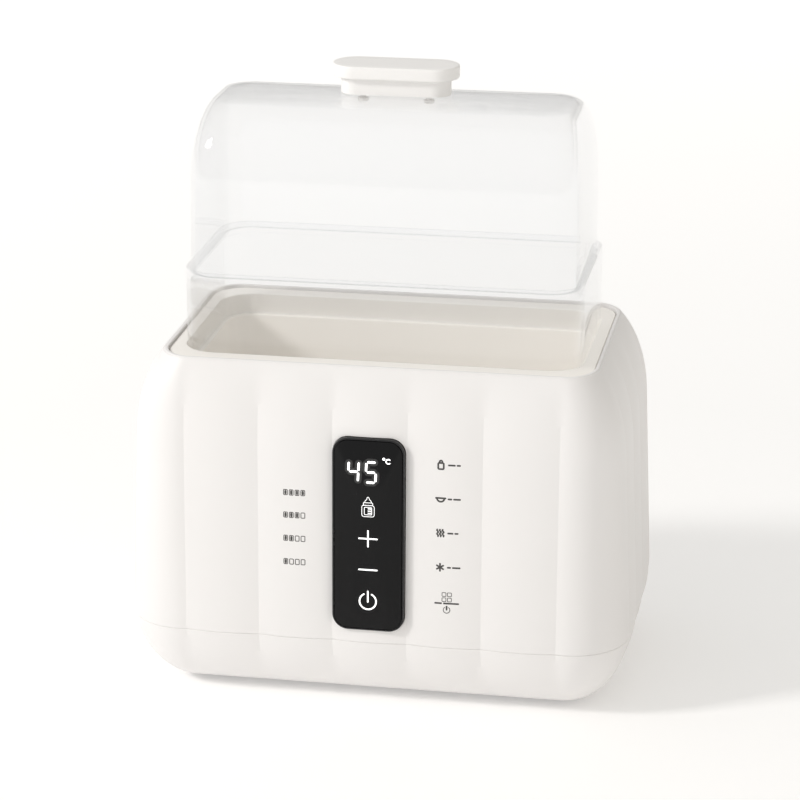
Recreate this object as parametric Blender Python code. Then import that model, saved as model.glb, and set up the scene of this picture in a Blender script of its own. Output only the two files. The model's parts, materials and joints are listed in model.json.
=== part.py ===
"""Double bottle steriliser and warmer: fluted housing, heated tank, clear collar and clear lid.

Frame: metres, +Z up, front towards -Y. The origin is on the surface it stands on, under the
middle of the body. Every outline is worked out from the sizes below.
"""

import math

import bmesh
import bpy
import numpy as np

# ---- housing plan and flutes -------------------------------------------------------------
FRONT_FLUTES = 5
FRONT_FLUTE_W = 0.0385       # from groove to groove on the front and back
SIDE_FLUTES = 3
SIDE_FLUTE_W = 0.031
CORNER_R = 0.034             # plan radius of the line of grooves at a corner
FLUTE_RISE = 0.0016          # crown of a flute above its grooves
CORNER_RISE = 0.0022
DRAFT = 0.04                 # every wall leans in by this share of its height
FLUTE_STEPS = 3
CORNER_STEPS = 5

# ---- housing heights and curves ----------------------------------------------------------
FOOT_GAP = 0.002             # underside above the surface it stands on
SEAM_Z = 0.0385              # line between base shell and housing
RIM_Z = 0.182
SHOULDER_Z = 0.1375          # the walls start to curve in above this
SHOULDER_IN = 0.025
SHOULDER_UP = 0.054
SHOULDER_POWER = 2.28
SHOULDER_SIDE_EXTRA = 0.0033  # the ends come in this much further than the front
KEEL_Z = 0.0435              # the walls start to curve under below this
KEEL_IN = 0.0305
KEEL_DOWN = 0.0415
KEEL_POWER = 1.82
WALL = 0.0025
LIP_T = 0.002
SHELF_W = 0.0038
SHELF_T = 0.002
SEAM_GAP = 0.0004
TONGUE_H = 0.0035
TONGUE_T = 0.0015
CLEAR = 0.0003               # between pieces that touch

# ---- tank liner --------------------------------------------------------------------------
DECK_DROP = 0.0013           # deck below the rim
DECK_T = 0.0022
DECK_GAP = 0.0007            # line between lip and deck
MOUTH_HX = 0.1032            # half width of the opening at the deck
MOUTH_HY = 0.0522
MOUTH_R = 0.0175
SEAT_DROP = 0.0107           # collar seat below the deck
SEAT_W = 0.0036
LINER_T = 0.0022
TANK_TAPER = 0.0022
TANK_FLOOR_Z = 0.057
TANK_CORNER = 0.006          # round between tank wall and floor

# ---- heating plate -----------------------------------------------------------------------
PLATE_R = 0.031
PLATE_FLANGE_W = 0.0065
PLATE_FLANGE_T = 0.0025
SEAL_T = 0.0023
ELEMENT_INSET = 0.0085       # middle of the tube inside the plate's edge
ELEMENT_TUBE_R = 0.0033
SENSOR_GAP = 0.007           # middle of a sensor inside the middle of the tube
CLAMP_GRIP = 0.003           # how far the ring reaches under the flange
CLAMP_T = 0.0012
CLAMP_BOSS_R = 0.0036
CLAMP_BOSS_GAP = 0.0009
CLAMP_EDGE = 0.004           # ring left outside the middle of a screw

# ---- collar, lid and handle --------------------------------------------------------------
COLLAR_HX = 0.1028
COLLAR_HY = 0.0518
COLLAR_R = 0.017
COLLAR_T = 0.002
COLLAR_H = 0.0413            # top edge above the deck
LID_SEAT_DROP = 0.0028       # seat for the lid below the collar's top edge
LID_SEAT_W = 0.0034
LID_SEAT_T = 0.0018
LID_SIDE_GAP = 0.0007
LID_T = 0.002
LID_DRAFT = 0.012
LID_WALL_H = 0.0415          # straight wall above the collar
LID_DOME_H = 0.0425          # curved part above that
LID_END_IN = 0.010           # how far the two ends curve in
LID_FRONT_IN = 0.032         # how far the front and back curve in
LID_POWER = 2.15
LID_CROWN = 0.0015
HANDLE_HX = 0.0326
HANDLE_HY = 0.0130
HANDLE_H = 0.0155            # top above the lid's crown
HANDLE_PLATE_T = 0.0067
NECK_HX = 0.0284
NECK_HY = 0.0095
HANDLE_PIN_X = 0.017

# ---- basket ------------------------------------------------------------------------------
BASKET_SIDE_GAP = 0.0025
BASKET_WALL = 0.002
BASKET_FLOOR = 0.0025
BASKET_H = 0.056
BASKET_FOOT_H = 0.006
BASKET_SLOT_W = 0.006
BASKET_SLOTS = 7

# ---- control panel -----------------------------------------------------------------------
PANEL_W = 0.0372
PANEL_H = 0.1025
PANEL_LOW_Z = 0.0459
PANEL_CORNER = 0.0082
PANEL_PROUD = 0.0032         # frame face ahead of the line of grooves
PANEL_SINK = 0.0009          # frame back behind the line of grooves
FRAME_EDGE = 0.0009
GLASS_T = 0.0016
WINDOW_EDGE = 0.0045         # housing left around the window behind the frame
BOARD_T = 0.0016
DISPLAY_BOARD_GAP = 0.0075   # back of the frame to the display board

# ---- mains inlet -------------------------------------------------------------------------
INLET_X = 0.0385
INLET_Z = 0.058
INLET_HX = 0.0115
INLET_HZ = 0.0062
INLET_WALL = 0.0018
INLET_FLANGE = 0.0035
INLET_FLANGE_T = 0.002
INLET_DEPTH = 0.018
SOCKET_DEPTH = 0.0145
PIN_SPACING = 0.0086
PIN_R = 0.0012
PIN_LENGTH = 0.009

# ---- base fittings -----------------------------------------------------------------------
FOOT_X = 0.086
FOOT_Y = 0.036
FOOT_R = 0.0085
FOOT_SINK = 0.0014
BASE_SCREW_X = 0.066
BASE_SCREW_Y = 0.038
TOWER_R = 0.0048
SCREW_HEAD_R = 0.0028
SCREW_HEAD_H = 0.0018
SCREW_R = 0.0015
COUNTERBORE_Z = 0.012
BASE_FLOOR_T = 0.0025
POWER_BOARD_HX = 0.050
POWER_BOARD_HY = 0.029
POWER_BOARD_Z = 0.0155
STANDOFF_R = 0.0032

FRONT_HALF = FRONT_FLUTES * FRONT_FLUTE_W / 2
SIDE_HALF = SIDE_FLUTES * SIDE_FLUTE_W / 2
HALF_W = FRONT_HALF + CORNER_R
HALF_D = SIDE_HALF + CORNER_R
DECK_Z = RIM_Z - DECK_DROP
SEAT_Z = DECK_Z - SEAT_DROP
COLLAR_TOP_Z = DECK_Z + COLLAR_H
LID_SHOULDER_Z = COLLAR_TOP_Z + LID_WALL_H
LID_TOP_Z = LID_SHOULDER_Z + LID_DOME_H
HANDLE_TOP_Z = LID_TOP_Z + LID_CROWN + HANDLE_H
PLATE_FLANGE_R = PLATE_R + PLATE_FLANGE_W
ELEMENT_R = PLATE_R - ELEMENT_INSET
CLAMP_HOLE_R = PLATE_FLANGE_R - CLAMP_GRIP
CLAMP_SCREW_R = PLATE_FLANGE_R + CLAMP_BOSS_R + CLAMP_BOSS_GAP
CLAMP_R = CLAMP_SCREW_R + CLAMP_EDGE
TILT = math.atan(DRAFT)


def clear_scene():
    """Remove every object that the scene starts with."""
    for thing in list(bpy.data.objects):
        bpy.data.objects.remove(thing, do_unlink=True)


def material(name, colour, roughness, metallic=0.0, alpha=1.0):
    """A plain Principled material."""
    made = bpy.data.materials.new(name)
    made.use_nodes = True
    shader = made.node_tree.nodes["Principled BSDF"]
    shader.inputs["Base Color"].default_value = (*colour, 1.0)
    shader.inputs["Roughness"].default_value = roughness
    shader.inputs["Metallic"].default_value = metallic
    shader.inputs["Alpha"].default_value = alpha
    return made


def add_object(name, points, faces, finish):
    """A mesh object from points and faces, its faces turned outwards."""
    mesh = bpy.data.meshes.new(name)
    mesh.from_pydata([tuple(map(float, p)) for p in points], [], faces)
    shape = bmesh.new()
    shape.from_mesh(mesh)
    bmesh.ops.recalc_face_normals(shape, faces=shape.faces)
    shape.to_mesh(mesh)
    shape.free()
    mesh.shade_smooth()
    mesh.set_sharp_from_angle(angle=math.radians(30))
    made = bpy.data.objects.new(name, mesh)
    bpy.context.scene.collection.objects.link(made)
    mesh.materials.append(finish)
    return made


def loft(name, loops, finish, ring=False):
    """Skin over loops of equally many points; ring joins last to first, else the ends are capped."""
    count = len(loops[0])
    points = [p for loop in loops for p in loop]
    faces = []
    rows = len(loops) if ring else len(loops) - 1
    for row in range(rows):
        low = row * count
        high = ((row + 1) % len(loops)) * count
        for k in range(count):
            n = (k + 1) % count
            faces.append((low + k, low + n, high + n, high + k))
    if not ring:
        for start, loop in ((0, loops[0]), ((len(loops) - 1) * count, loops[-1])):
            points.append(np.mean(loop, axis=0))
            centre = len(points) - 1
            faces += [(start + k, start + (k + 1) % count, centre) for k in range(count)]
    return add_object(name, points, faces, finish)


def at_height(plan, z):
    """Plan points (x, y) lifted to height z."""
    return np.column_stack([plan, np.full(len(plan), z)])


def circle(radius, sides=24, centre=(0.0, 0.0)):
    """Points on a circle."""
    turn = np.linspace(0, 2 * math.pi, sides, endpoint=False)
    return np.column_stack([centre[0] + radius * np.cos(turn), centre[1] + radius * np.sin(turn)])


def rounded(hx, hy, radius, steps=6):
    """Rounded rectangle of half sizes hx and hy, anticlockwise from the front right corner."""
    loop = []
    for sx, sy, start in ((1, -1, -90), (1, 1, 0), (-1, 1, 90), (-1, -1, 180)):
        for angle in np.radians(np.linspace(start, start + 90, steps + 1)):
            loop.append((sx * (hx - radius) + radius * math.cos(angle),
                         sy * (hy - radius) + radius * math.sin(angle)))
    return np.array(loop)


def turned(name, profile, finish, sides=24, centre=(0.0, 0.0), ring=False):
    """Body of revolution about a vertical line; profile is a list of (radius, z)."""
    loops = [at_height(circle(r, sides, centre), z) for r, z in profile]
    return loft(name, loops, finish, ring)


def tool(shape):
    """Mark an object as a cutter: hidden from the build."""
    shape.hide_render = True
    shape.display_type = "WIRE"
    return shape


def combine(target, other, how):
    """Boolean modifier on target with a hidden tool."""
    tool(other)
    change = target.modifiers.new(how.lower() + "_" + other.name, "BOOLEAN")
    change.operation = how
    change.solver = "EXACT"
    change.object = other


def quarter_in(share, power):
    """Superellipse quarter: 0 at the start of the curve, 1 where it turns flat."""
    share = min(max(share, 0.0), 1.0)
    return 1 - (1 - share ** power) ** (1 / power)


def wall_inset(z):
    """How far the line of grooves lies inside its plan at the seam, at height z."""
    inset = DRAFT * (z - SEAM_Z)
    inset += SHOULDER_IN * quarter_in((z - SHOULDER_Z) / SHOULDER_UP, SHOULDER_POWER)
    inset += KEEL_IN * quarter_in((KEEL_Z - z) / KEEL_DOWN, KEEL_POWER)
    return inset


def side_extra(z):
    """Further inset of the two ends over the shoulder."""
    return SHOULDER_SIDE_EXTRA * min(max((z - SHOULDER_Z) / (RIM_Z - SHOULDER_Z), 0.0), 1.0) ** 2


def flute_depth(z):
    """Share of the full flute depth: it fades out at the rim and at the underside."""
    up = min(max((z - SHOULDER_Z) / (RIM_Z - SHOULDER_Z), 0.0), 1.0)
    down = min(max((KEEL_Z - z) / (KEEL_Z - FOOT_GAP), 0.0), 1.0)
    return (1 - up ** 3) * (1 - down ** 2)


def body_loop(z, height=None, inward=0.0, fluted=True):
    """Outline of the body's wall taken at z, placed at height, moved inward by a distance."""
    inset = wall_inset(z) + inward
    extra = side_extra(z)
    depth = flute_depth(z) if fluted else 0.0
    rx = CORNER_R - inset - extra
    ry = CORNER_R - inset
    loop = []

    def straight(start, end, flutes, normal):
        start, end, normal = map(np.array, (start, end, normal))
        for k in range(flutes * FLUTE_STEPS):
            along = k / (flutes * FLUTE_STEPS)
            u = (k % FLUTE_STEPS) / FLUTE_STEPS
            loop.append(start + (end - start) * along + normal * FLUTE_RISE * depth * 4 * u * (1 - u))

    def corner(sx, sy, start):
        centre = np.array((sx * FRONT_HALF, sy * SIDE_HALF))
        for k in range(CORNER_STEPS):
            u = k / CORNER_STEPS
            angle = math.radians(start + 90 * u)
            out = np.array((math.cos(angle), math.sin(angle)))
            bulge = CORNER_RISE * depth * 4 * u * (1 - u)
            loop.append(centre + out * (rx, ry) + out * bulge)

    y = HALF_D - inset
    x = HALF_W - inset - extra
    straight((-FRONT_HALF, -y), (FRONT_HALF, -y), FRONT_FLUTES, (0, -1))
    corner(1, -1, -90)
    straight((x, -SIDE_HALF), (x, SIDE_HALF), SIDE_FLUTES, (1, 0))
    corner(1, 1, 0)
    straight((FRONT_HALF, y), (-FRONT_HALF, y), FRONT_FLUTES, (0, 1))
    corner(-1, 1, 90)
    straight((-x, SIDE_HALF), (-x, -SIDE_HALF), SIDE_FLUTES, (-1, 0))
    corner(-1, -1, 180)
    return at_height(np.array(loop), z if height is None else height)


def eased(low, high, steps, crowd_high):
    """Heights from low to high, closer together at one end."""
    share = np.linspace(0, math.pi / 2, steps + 1)
    share = np.sin(share) if crowd_high else 1 - np.cos(share)
    return low + (high - low) * share


def screw(name, x, y, head_z, length, finish, down=False):
    """Pan-head screw, its head's outer face at head_z; the shank points up, or down."""
    way = -1 if down else 1
    profile = [(SCREW_HEAD_R * 0.8, 0.0), (SCREW_HEAD_R, 0.0006), (SCREW_HEAD_R, SCREW_HEAD_H),
               (SCREW_R, SCREW_HEAD_H), (SCREW_R, length - SCREW_R), (SCREW_R * 0.4, length)]
    return turned(name, [(r, head_z + way * z) for r, z in profile], finish, 12, (x, y))


def panel_prism(name, width, height, corner, near, far, finish):
    """Rounded plate on the leaning front wall, from near to far behind the line of grooves."""
    middle_z = PANEL_LOW_Z + PANEL_H / 2 * math.cos(TILT)
    face_y = -(HALF_D - DRAFT * (middle_z - SEAM_Z))
    plan = rounded(width / 2, height / 2, corner)
    loops = [np.column_stack([plan[:, 0], np.full(len(plan), y), plan[:, 1]]) for y in (near, far)]
    made = loft(name, loops, finish)
    made.location = (0, face_y, middle_z)
    made.rotation_euler = (-TILT, 0, 0)
    return made


def on_panel(made, x=0.0, up=0.0, back=0.0):
    """Place an object modelled about its own middle on the leaning panel frame."""
    middle_z = PANEL_LOW_Z + PANEL_H / 2 * math.cos(TILT)
    face_y = -(HALF_D - DRAFT * (middle_z - SEAM_Z))
    made.location = (x,
                     face_y + back * math.cos(TILT) + up * math.sin(TILT),
                     middle_z + up * math.cos(TILT) - back * math.sin(TILT))
    made.rotation_euler = (-TILT, 0, 0)
    return made


def box(name, hx, hy, hz, finish, centre=(0, 0, 0), edge=0.0):
    """Box of half sizes; edge rounds its upright corners."""
    radius = edge if edge else min(hx, hy) * 0.02
    plan = rounded(hx, hy, radius, 2 if edge else 1)
    made = loft(name, [at_height(plan, -hz), at_height(plan, hz)], finish)
    made.location = centre
    return made


def wire(name, route, radius, finish):
    """Round lead along a smooth curve through a few hand-set points."""
    route = np.array(route)
    smooth = []
    for k in range(len(route) - 1):
        before = route[max(k - 1, 0)]
        after = route[min(k + 2, len(route) - 1)]
        for t in np.linspace(0, 1, 4, endpoint=False):
            a = 2 * route[k]
            b = (route[k + 1] - before) * t
            c = (2 * before - 5 * route[k] + 4 * route[k + 1] - after) * t ** 2
            d = (3 * route[k] - before - 3 * route[k + 1] + after) * t ** 3
            smooth.append((a + b + c + d) / 2)
    smooth.append(route[-1])
    line = bpy.data.curves.new(name, "CURVE")
    line.dimensions = "3D"
    spline = line.splines.new("POLY")
    spline.points.add(len(smooth) - 1)
    for point, place in zip(spline.points, smooth):
        point.co = (*place, 1.0)
    line.bevel_depth = radius
    line.bevel_resolution = 1
    line.use_fill_caps = True
    made = bpy.data.objects.new(name, line)
    line.materials.append(finish)
    bpy.context.scene.collection.objects.link(made)
    return made


clear_scene()
CREAM = material("cream_plastic", (0.86, 0.83, 0.78), 0.55)
LINER = material("liner_plastic", (0.82, 0.79, 0.73), 0.4)
CLEAR_PLASTIC = material("clear_plastic", (0.96, 0.97, 0.98), 0.05, alpha=0.25)
BLACK_GLASS = material("black_glass", (0.02, 0.02, 0.02), 0.08)
BLACK_PLASTIC = material("black_plastic", (0.03, 0.03, 0.03), 0.4)
RUBBER = material("foot_rubber", (0.7, 0.68, 0.64), 0.8)
SILICONE = material("silicone", (0.75, 0.75, 0.72), 0.6)
COATED = material("coated_aluminium", (0.35, 0.35, 0.36), 0.35, metallic=0.8)
STEEL = material("steel", (0.6, 0.6, 0.6), 0.35, metallic=1.0)
BRASS = material("brass", (0.7, 0.55, 0.25), 0.35, metallic=1.0)
BOARD = material("circuit_board", (0.05, 0.25, 0.12), 0.5)
PART_BLACK = material("component_black", (0.04, 0.04, 0.045), 0.5)
LEAD = material("lead_insulation", (0.75, 0.1, 0.08), 0.5)


def make_housing():
    """Fluted outer shell: a ring with a lip and a shelf at the top, open below."""
    heights = [SEAM_Z, KEEL_Z, SHOULDER_Z]
    heights += list(eased(SHOULDER_Z, RIM_Z, 6, crowd_high=True)[1:])
    loops = [body_loop(z) for z in heights]
    shelf_z = DECK_Z - DECK_T - CLEAR
    loops.append(body_loop(RIM_Z, inward=LIP_T, fluted=False))
    loops.append(body_loop(RIM_Z, height=shelf_z, inward=LIP_T, fluted=False))
    loops.append(body_loop(RIM_Z, height=shelf_z, inward=LIP_T + SHELF_W, fluted=False))
    under = shelf_z - SHELF_T
    loops.append(body_loop(RIM_Z, height=under, inward=LIP_T + SHELF_W, fluted=False))
    inner = [under - 0.0005, under - 0.012, SHOULDER_Z, KEEL_Z, SEAM_Z]
    loops += [body_loop(z, inward=WALL, fluted=False) for z in inner]
    shell = loft("housing_shell", loops, CREAM, ring=True)
    pocket = panel_prism("panel_pocket", PANEL_W + 2 * CLEAR, PANEL_H + 2 * CLEAR,
                         PANEL_CORNER + CLEAR, -0.02, PANEL_SINK + CLEAR, CREAM)
    window = panel_prism("panel_window", PANEL_W - 2 * WINDOW_EDGE, PANEL_H - 2 * WINDOW_EDGE,
                         PANEL_CORNER / 2, -0.02, 0.02, CREAM)
    combine(shell, pocket, "DIFFERENCE")
    combine(shell, window, "DIFFERENCE")
    plan = rounded(INLET_HX + CLEAR, INLET_HZ + CLEAR, INLET_HZ, 5)
    loops = [np.column_stack([INLET_X + plan[:, 0], np.full(len(plan), y), INLET_Z + plan[:, 1]])
             for y in (HALF_D - 0.02, HALF_D + 0.02)]
    combine(shell, loft("inlet_hole", loops, CREAM), "DIFFERENCE")


def screw_places():
    """Corners of the base screw pattern."""
    return [(sx * BASE_SCREW_X, sy * BASE_SCREW_Y) for sx in (-1, 1) for sy in (-1, 1)]


def board_screw_places():
    """Corners of the power board's screw pattern."""
    edge = STANDOFF_R + 0.001
    return [(sx * (POWER_BOARD_HX - edge), sy * (POWER_BOARD_HY - edge))
            for sx in (-1, 1) for sy in (-1, 1)]


def make_base():
    """Base shell: a pan that closes the housing below, with screw towers and standoffs."""
    top = SEAM_Z - SEAM_GAP
    floor_z = FOOT_GAP + BASE_FLOOR_T
    outer = list(eased(FOOT_GAP, top, 6, crowd_high=False))
    loops = [body_loop(z) for z in outer]
    tongue = WALL + CLEAR
    inset_here = tongue + wall_inset(SEAM_Z + TONGUE_H) - wall_inset(top)
    loops.append(body_loop(top, inward=inset_here, fluted=False))
    loops.append(body_loop(SEAM_Z + TONGUE_H, inward=tongue, fluted=False))
    loops.append(body_loop(SEAM_Z + TONGUE_H, inward=tongue + TONGUE_T, fluted=False))
    for z in list(eased(floor_z, top, 4, crowd_high=False))[::-1]:
        thick = WALL + (inset_here + TONGUE_T - WALL) * (z - floor_z) / (top - floor_z)
        loops.append(body_loop(z - BASE_FLOOR_T, height=z, inward=thick, fluted=False))
    shell = loft("base_shell", loops, CREAM)
    tower_top = TANK_FLOOR_Z - LINER_T - 0.014
    for k, (x, y) in enumerate(screw_places()):
        low = FOOT_GAP + BASE_FLOOR_T / 2
        combine(shell, turned(f"tower_{k}", [(TOWER_R, low), (TOWER_R, tower_top)], CREAM, 16, (x, y)),
                "UNION")
        bore = [(SCREW_HEAD_R + 2 * CLEAR, -0.01), (SCREW_HEAD_R + 2 * CLEAR, COUNTERBORE_Z),
                (SCREW_R + CLEAR, COUNTERBORE_Z), (SCREW_R + CLEAR, tower_top + 0.01)]
        combine(shell, turned(f"tower_bore_{k}", bore, CREAM, 16, (x, y)), "DIFFERENCE")
    for k, (x, y) in enumerate(board_screw_places()):
        low = FOOT_GAP + BASE_FLOOR_T / 2
        top_z = POWER_BOARD_Z - CLEAR
        combine(shell, turned(f"standoff_{k}", [(STANDOFF_R, low), (STANDOFF_R, top_z)], CREAM, 12, (x, y)),
                "UNION")
        bore = [(SCREW_R + CLEAR, top_z - 0.007), (SCREW_R + CLEAR, top_z + 0.005)]
        combine(shell, turned(f"standoff_bore_{k}", bore, CREAM, 12, (x, y)), "DIFFERENCE")
    for k, (sx, sy) in enumerate(((-1, -1), (-1, 1), (1, -1), (1, 1))):
        seat = [(FOOT_R + CLEAR, -0.01), (FOOT_R + CLEAR, FOOT_GAP + FOOT_SINK)]
        cutter = turned(f"foot_seat_{k}", seat, CREAM, 20, (sx * FOOT_X, sy * FOOT_Y))
        combine(shell, cutter, "DIFFERENCE")
    return tower_top


def make_liner(tower_top):
    """Tank liner: deck, collar seat, tank walls and a floor with a round hole for the plate."""
    rim_x = HALF_W - wall_inset(RIM_Z) - side_extra(RIM_Z) - LIP_T - DECK_GAP
    rim_y = HALF_D - wall_inset(RIM_Z) - LIP_T - DECK_GAP
    rim_r = CORNER_R - wall_inset(RIM_Z) - LIP_T - DECK_GAP
    in_x = MOUTH_HX - SEAT_W
    in_y = MOUTH_HY - SEAT_W
    in_r = MOUTH_R - SEAT_W
    low_x = in_x - TANK_TAPER
    low_y = in_y - TANK_TAPER
    floor_r = 0.012
    hole = PLATE_R + 0.0015
    under_z = TANK_FLOOR_Z - LINER_T
    steps = 6

    def level(hx, hy, radius, z):
        return at_height(rounded(hx, hy, radius, steps), z)

    def round_hole(radius, z):
        turn = []
        for start in (-90, 0, 90, 180):
            turn += list(np.radians(start + 90 * (np.arange(steps + 1) + 0.5) / (steps + 1)))
        turn = np.array(turn)
        return at_height(np.column_stack([radius * np.cos(turn), radius * np.sin(turn)]), z)

    t = LINER_T
    bend = TANK_CORNER
    loops = [
        level(rim_x, rim_y, rim_r, DECK_Z - DECK_T),
        level(rim_x, rim_y, rim_r, DECK_Z),
        level(MOUTH_HX, MOUTH_HY, MOUTH_R, DECK_Z),
        level(MOUTH_HX, MOUTH_HY, MOUTH_R, SEAT_Z),
        level(in_x, in_y, in_r, SEAT_Z),
        level(low_x, low_y, in_r, TANK_FLOOR_Z + bend),
        level(low_x - bend * 0.3, low_y - bend * 0.3, floor_r, TANK_FLOOR_Z + bend * 0.3),
        level(low_x - bend, low_y - bend, floor_r * 0.6, TANK_FLOOR_Z),
        round_hole(hole, TANK_FLOOR_Z),
        round_hole(hole, under_z),
        level(low_x - bend, low_y - bend, floor_r * 0.6, under_z),
        level(low_x + t - bend * 0.3, low_y + t - bend * 0.3, floor_r + t, TANK_FLOOR_Z + bend * 0.3 - t * 0.7),
        level(low_x + t, low_y + t, in_r + t, TANK_FLOOR_Z + bend),
        level(in_x + t, in_y + t, in_r + t, SEAT_Z - t),
        level(MOUTH_HX + t, MOUTH_HY + t, MOUTH_R + t, SEAT_Z - t),
        level(MOUTH_HX + t, MOUTH_HY + t, MOUTH_R + t, DECK_Z - DECK_T),
    ]
    liner = loft("tank_liner", loops, LINER, ring=True)
    for k, (x, y) in enumerate(screw_places()):
        post = [(TOWER_R, tower_top + CLEAR), (TOWER_R, under_z + t / 2)]
        combine(liner, turned(f"liner_post_{k}", post, LINER, 16, (x, y)), "UNION")
        bore = [(SCREW_R + CLEAR, tower_top - 0.004), (SCREW_R + CLEAR, under_z - 0.002)]
        combine(liner, turned(f"liner_post_bore_{k}", bore, LINER, 12, (x, y)), "DIFFERENCE")
    clamp_z = under_z - SEAL_T - 2 * CLEAR - PLATE_FLANGE_T - CLEAR
    for k, (x, y) in enumerate(clamp_places()):
        boss = [(CLAMP_BOSS_R, clamp_z + CLEAR), (CLAMP_BOSS_R, under_z + t / 2)]
        combine(liner, turned(f"clamp_boss_{k}", boss, LINER, 12, (x, y)), "UNION")
        bore = [(SCREW_R + CLEAR, clamp_z - 0.004), (SCREW_R + CLEAR, under_z - 0.0006)]
        combine(liner, turned(f"clamp_boss_bore_{k}", bore, LINER, 12, (x, y)), "DIFFERENCE")
    return under_z, clamp_z


def clamp_places():
    """The four clamp screws on their circle."""
    angles = np.radians((45, 135, 225, 315))
    return [(CLAMP_SCREW_R * math.cos(a), CLAMP_SCREW_R * math.sin(a)) for a in angles]


def make_heater(under_z, clamp_z):
    """Heating plate, its seal, the tubular element, clamp ring, sensors and cut-outs."""
    seal_top = under_z - CLEAR
    seal_low = seal_top - SEAL_T
    flange_top = seal_low - CLEAR
    flange_low = flange_top - PLATE_FLANGE_T
    turned("heating_plate", [(PLATE_FLANGE_R, flange_low), (PLATE_FLANGE_R, flange_top),
                             (PLATE_R, flange_top), (PLATE_R, TANK_FLOOR_Z - 0.0008),
                             (PLATE_R - 0.0008, TANK_FLOOR_Z), (PLATE_R * 0.5, TANK_FLOOR_Z - 0.0012)],
           COATED, 36)
    inner = PLATE_R + CLEAR
    hole = PLATE_R + 0.0015
    turned("plate_seal", [(inner, seal_low), (PLATE_FLANGE_R, seal_low), (PLATE_FLANGE_R, seal_top),
                          (hole - CLEAR, seal_top), (hole - CLEAR, TANK_FLOOR_Z - 0.0002),
                          (inner, TANK_FLOOR_Z - 0.0002)], SILICONE, 36, ring=True)
    element_z = flange_low - CLEAR - ELEMENT_TUBE_R
    route = [np.array((ELEMENT_R * math.cos(a), ELEMENT_R * math.sin(a), element_z))
             for a in np.radians(np.linspace(25, 335, 25))]
    loops = []
    for k, p in enumerate(route):
        ahead = route[min(k + 1, len(route) - 1)] - route[max(k - 1, 0)]
        side = np.cross(ahead / np.linalg.norm(ahead), (0, 0, 1))
        loops.append(np.array([p + ELEMENT_TUBE_R * (math.cos(a) * side + math.sin(a) * np.array((0, 0, 1)))
                               for a in np.linspace(0, 2 * math.pi, 10, endpoint=False)]))
    loft("heater_element", loops, STEEL)
    turned("clamp_ring", [(CLAMP_HOLE_R, clamp_z - CLAMP_T), (CLAMP_R, clamp_z - CLAMP_T),
                          (CLAMP_R, clamp_z), (CLAMP_HOLE_R, clamp_z)], STEEL, 36, ring=True)
    ring = bpy.data.objects["clamp_ring"]
    for k, (x, y) in enumerate(clamp_places()):
        bore = [(SCREW_R + CLEAR, clamp_z - 0.006), (SCREW_R + CLEAR, clamp_z + 0.001)]
        combine(ring, turned(f"clamp_ring_bore_{k}", bore, STEEL, 12, (x, y)), "DIFFERENCE")
        head = clamp_z - CLAMP_T - CLEAR - SCREW_HEAD_H
        screw(f"clamp_screw_{k + 1}", x, y, head, 0.0078, STEEL)
    top = flange_low - CLEAR
    turned("thermostat", [(0.0085, top - 0.007), (0.0085, top - 0.0015), (0.0070, top - 0.0015),
                          (0.0070, top)], PART_BLACK, 20)
    turned("ntc_sensor", [(0.0022, top - 0.009), (0.0022, top - 0.003), (0.0032, top - 0.003),
                          (0.0032, top)], STEEL, 12, (0.0, ELEMENT_R - SENSOR_GAP))
    fuse = turned("thermal_fuse", [(0.0021, -0.006), (0.0021, 0.006)], STEEL, 12)
    fuse.rotation_euler = (0, math.pi / 2, 0)
    fuse.location = (0, SENSOR_GAP - ELEMENT_R, top - 0.0021)
    return flange_low


def make_power_board():
    """Power board on the base's standoffs, with its larger components."""
    low = POWER_BOARD_Z
    board = box("power_board", POWER_BOARD_HX, POWER_BOARD_HY, BOARD_T / 2, BOARD,
                (0, 0, low + BOARD_T / 2), 0.001)
    for k, (x, y) in enumerate(board_screw_places()):
        bore = [(SCREW_R + CLEAR, low - 0.003), (SCREW_R + CLEAR, low + 0.004)]
        combine(board, turned(f"board_bore_{k}", bore, BOARD, 12, (x, y)), "DIFFERENCE")
        screw(f"board_screw_{k + 1}", x, y, low + BOARD_T + CLEAR + SCREW_HEAD_H, 0.0082, STEEL, down=True)
    top = low + BOARD_T + CLEAR
    box("power_relay", 0.0095, 0.0075, 0.0075, PART_BLACK, (-0.028, 0.008, top + 0.0075), 0.0006)
    box("power_transformer", 0.010, 0.009, 0.0075, PART_BLACK, (0.024, -0.008, top + 0.0075), 0.0010)
    turned("filter_capacitor", [(0.0048, top), (0.0050, top + 0.0006), (0.0050, top + 0.0120),
                                (0.0046, top + 0.0128)], PART_BLACK, 16, (0.002, 0.015))
    box("lead_terminal", 0.0080, 0.0042, 0.0045, CREAM, (0.030, 0.018, top + 0.0045), 0.0004)


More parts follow.
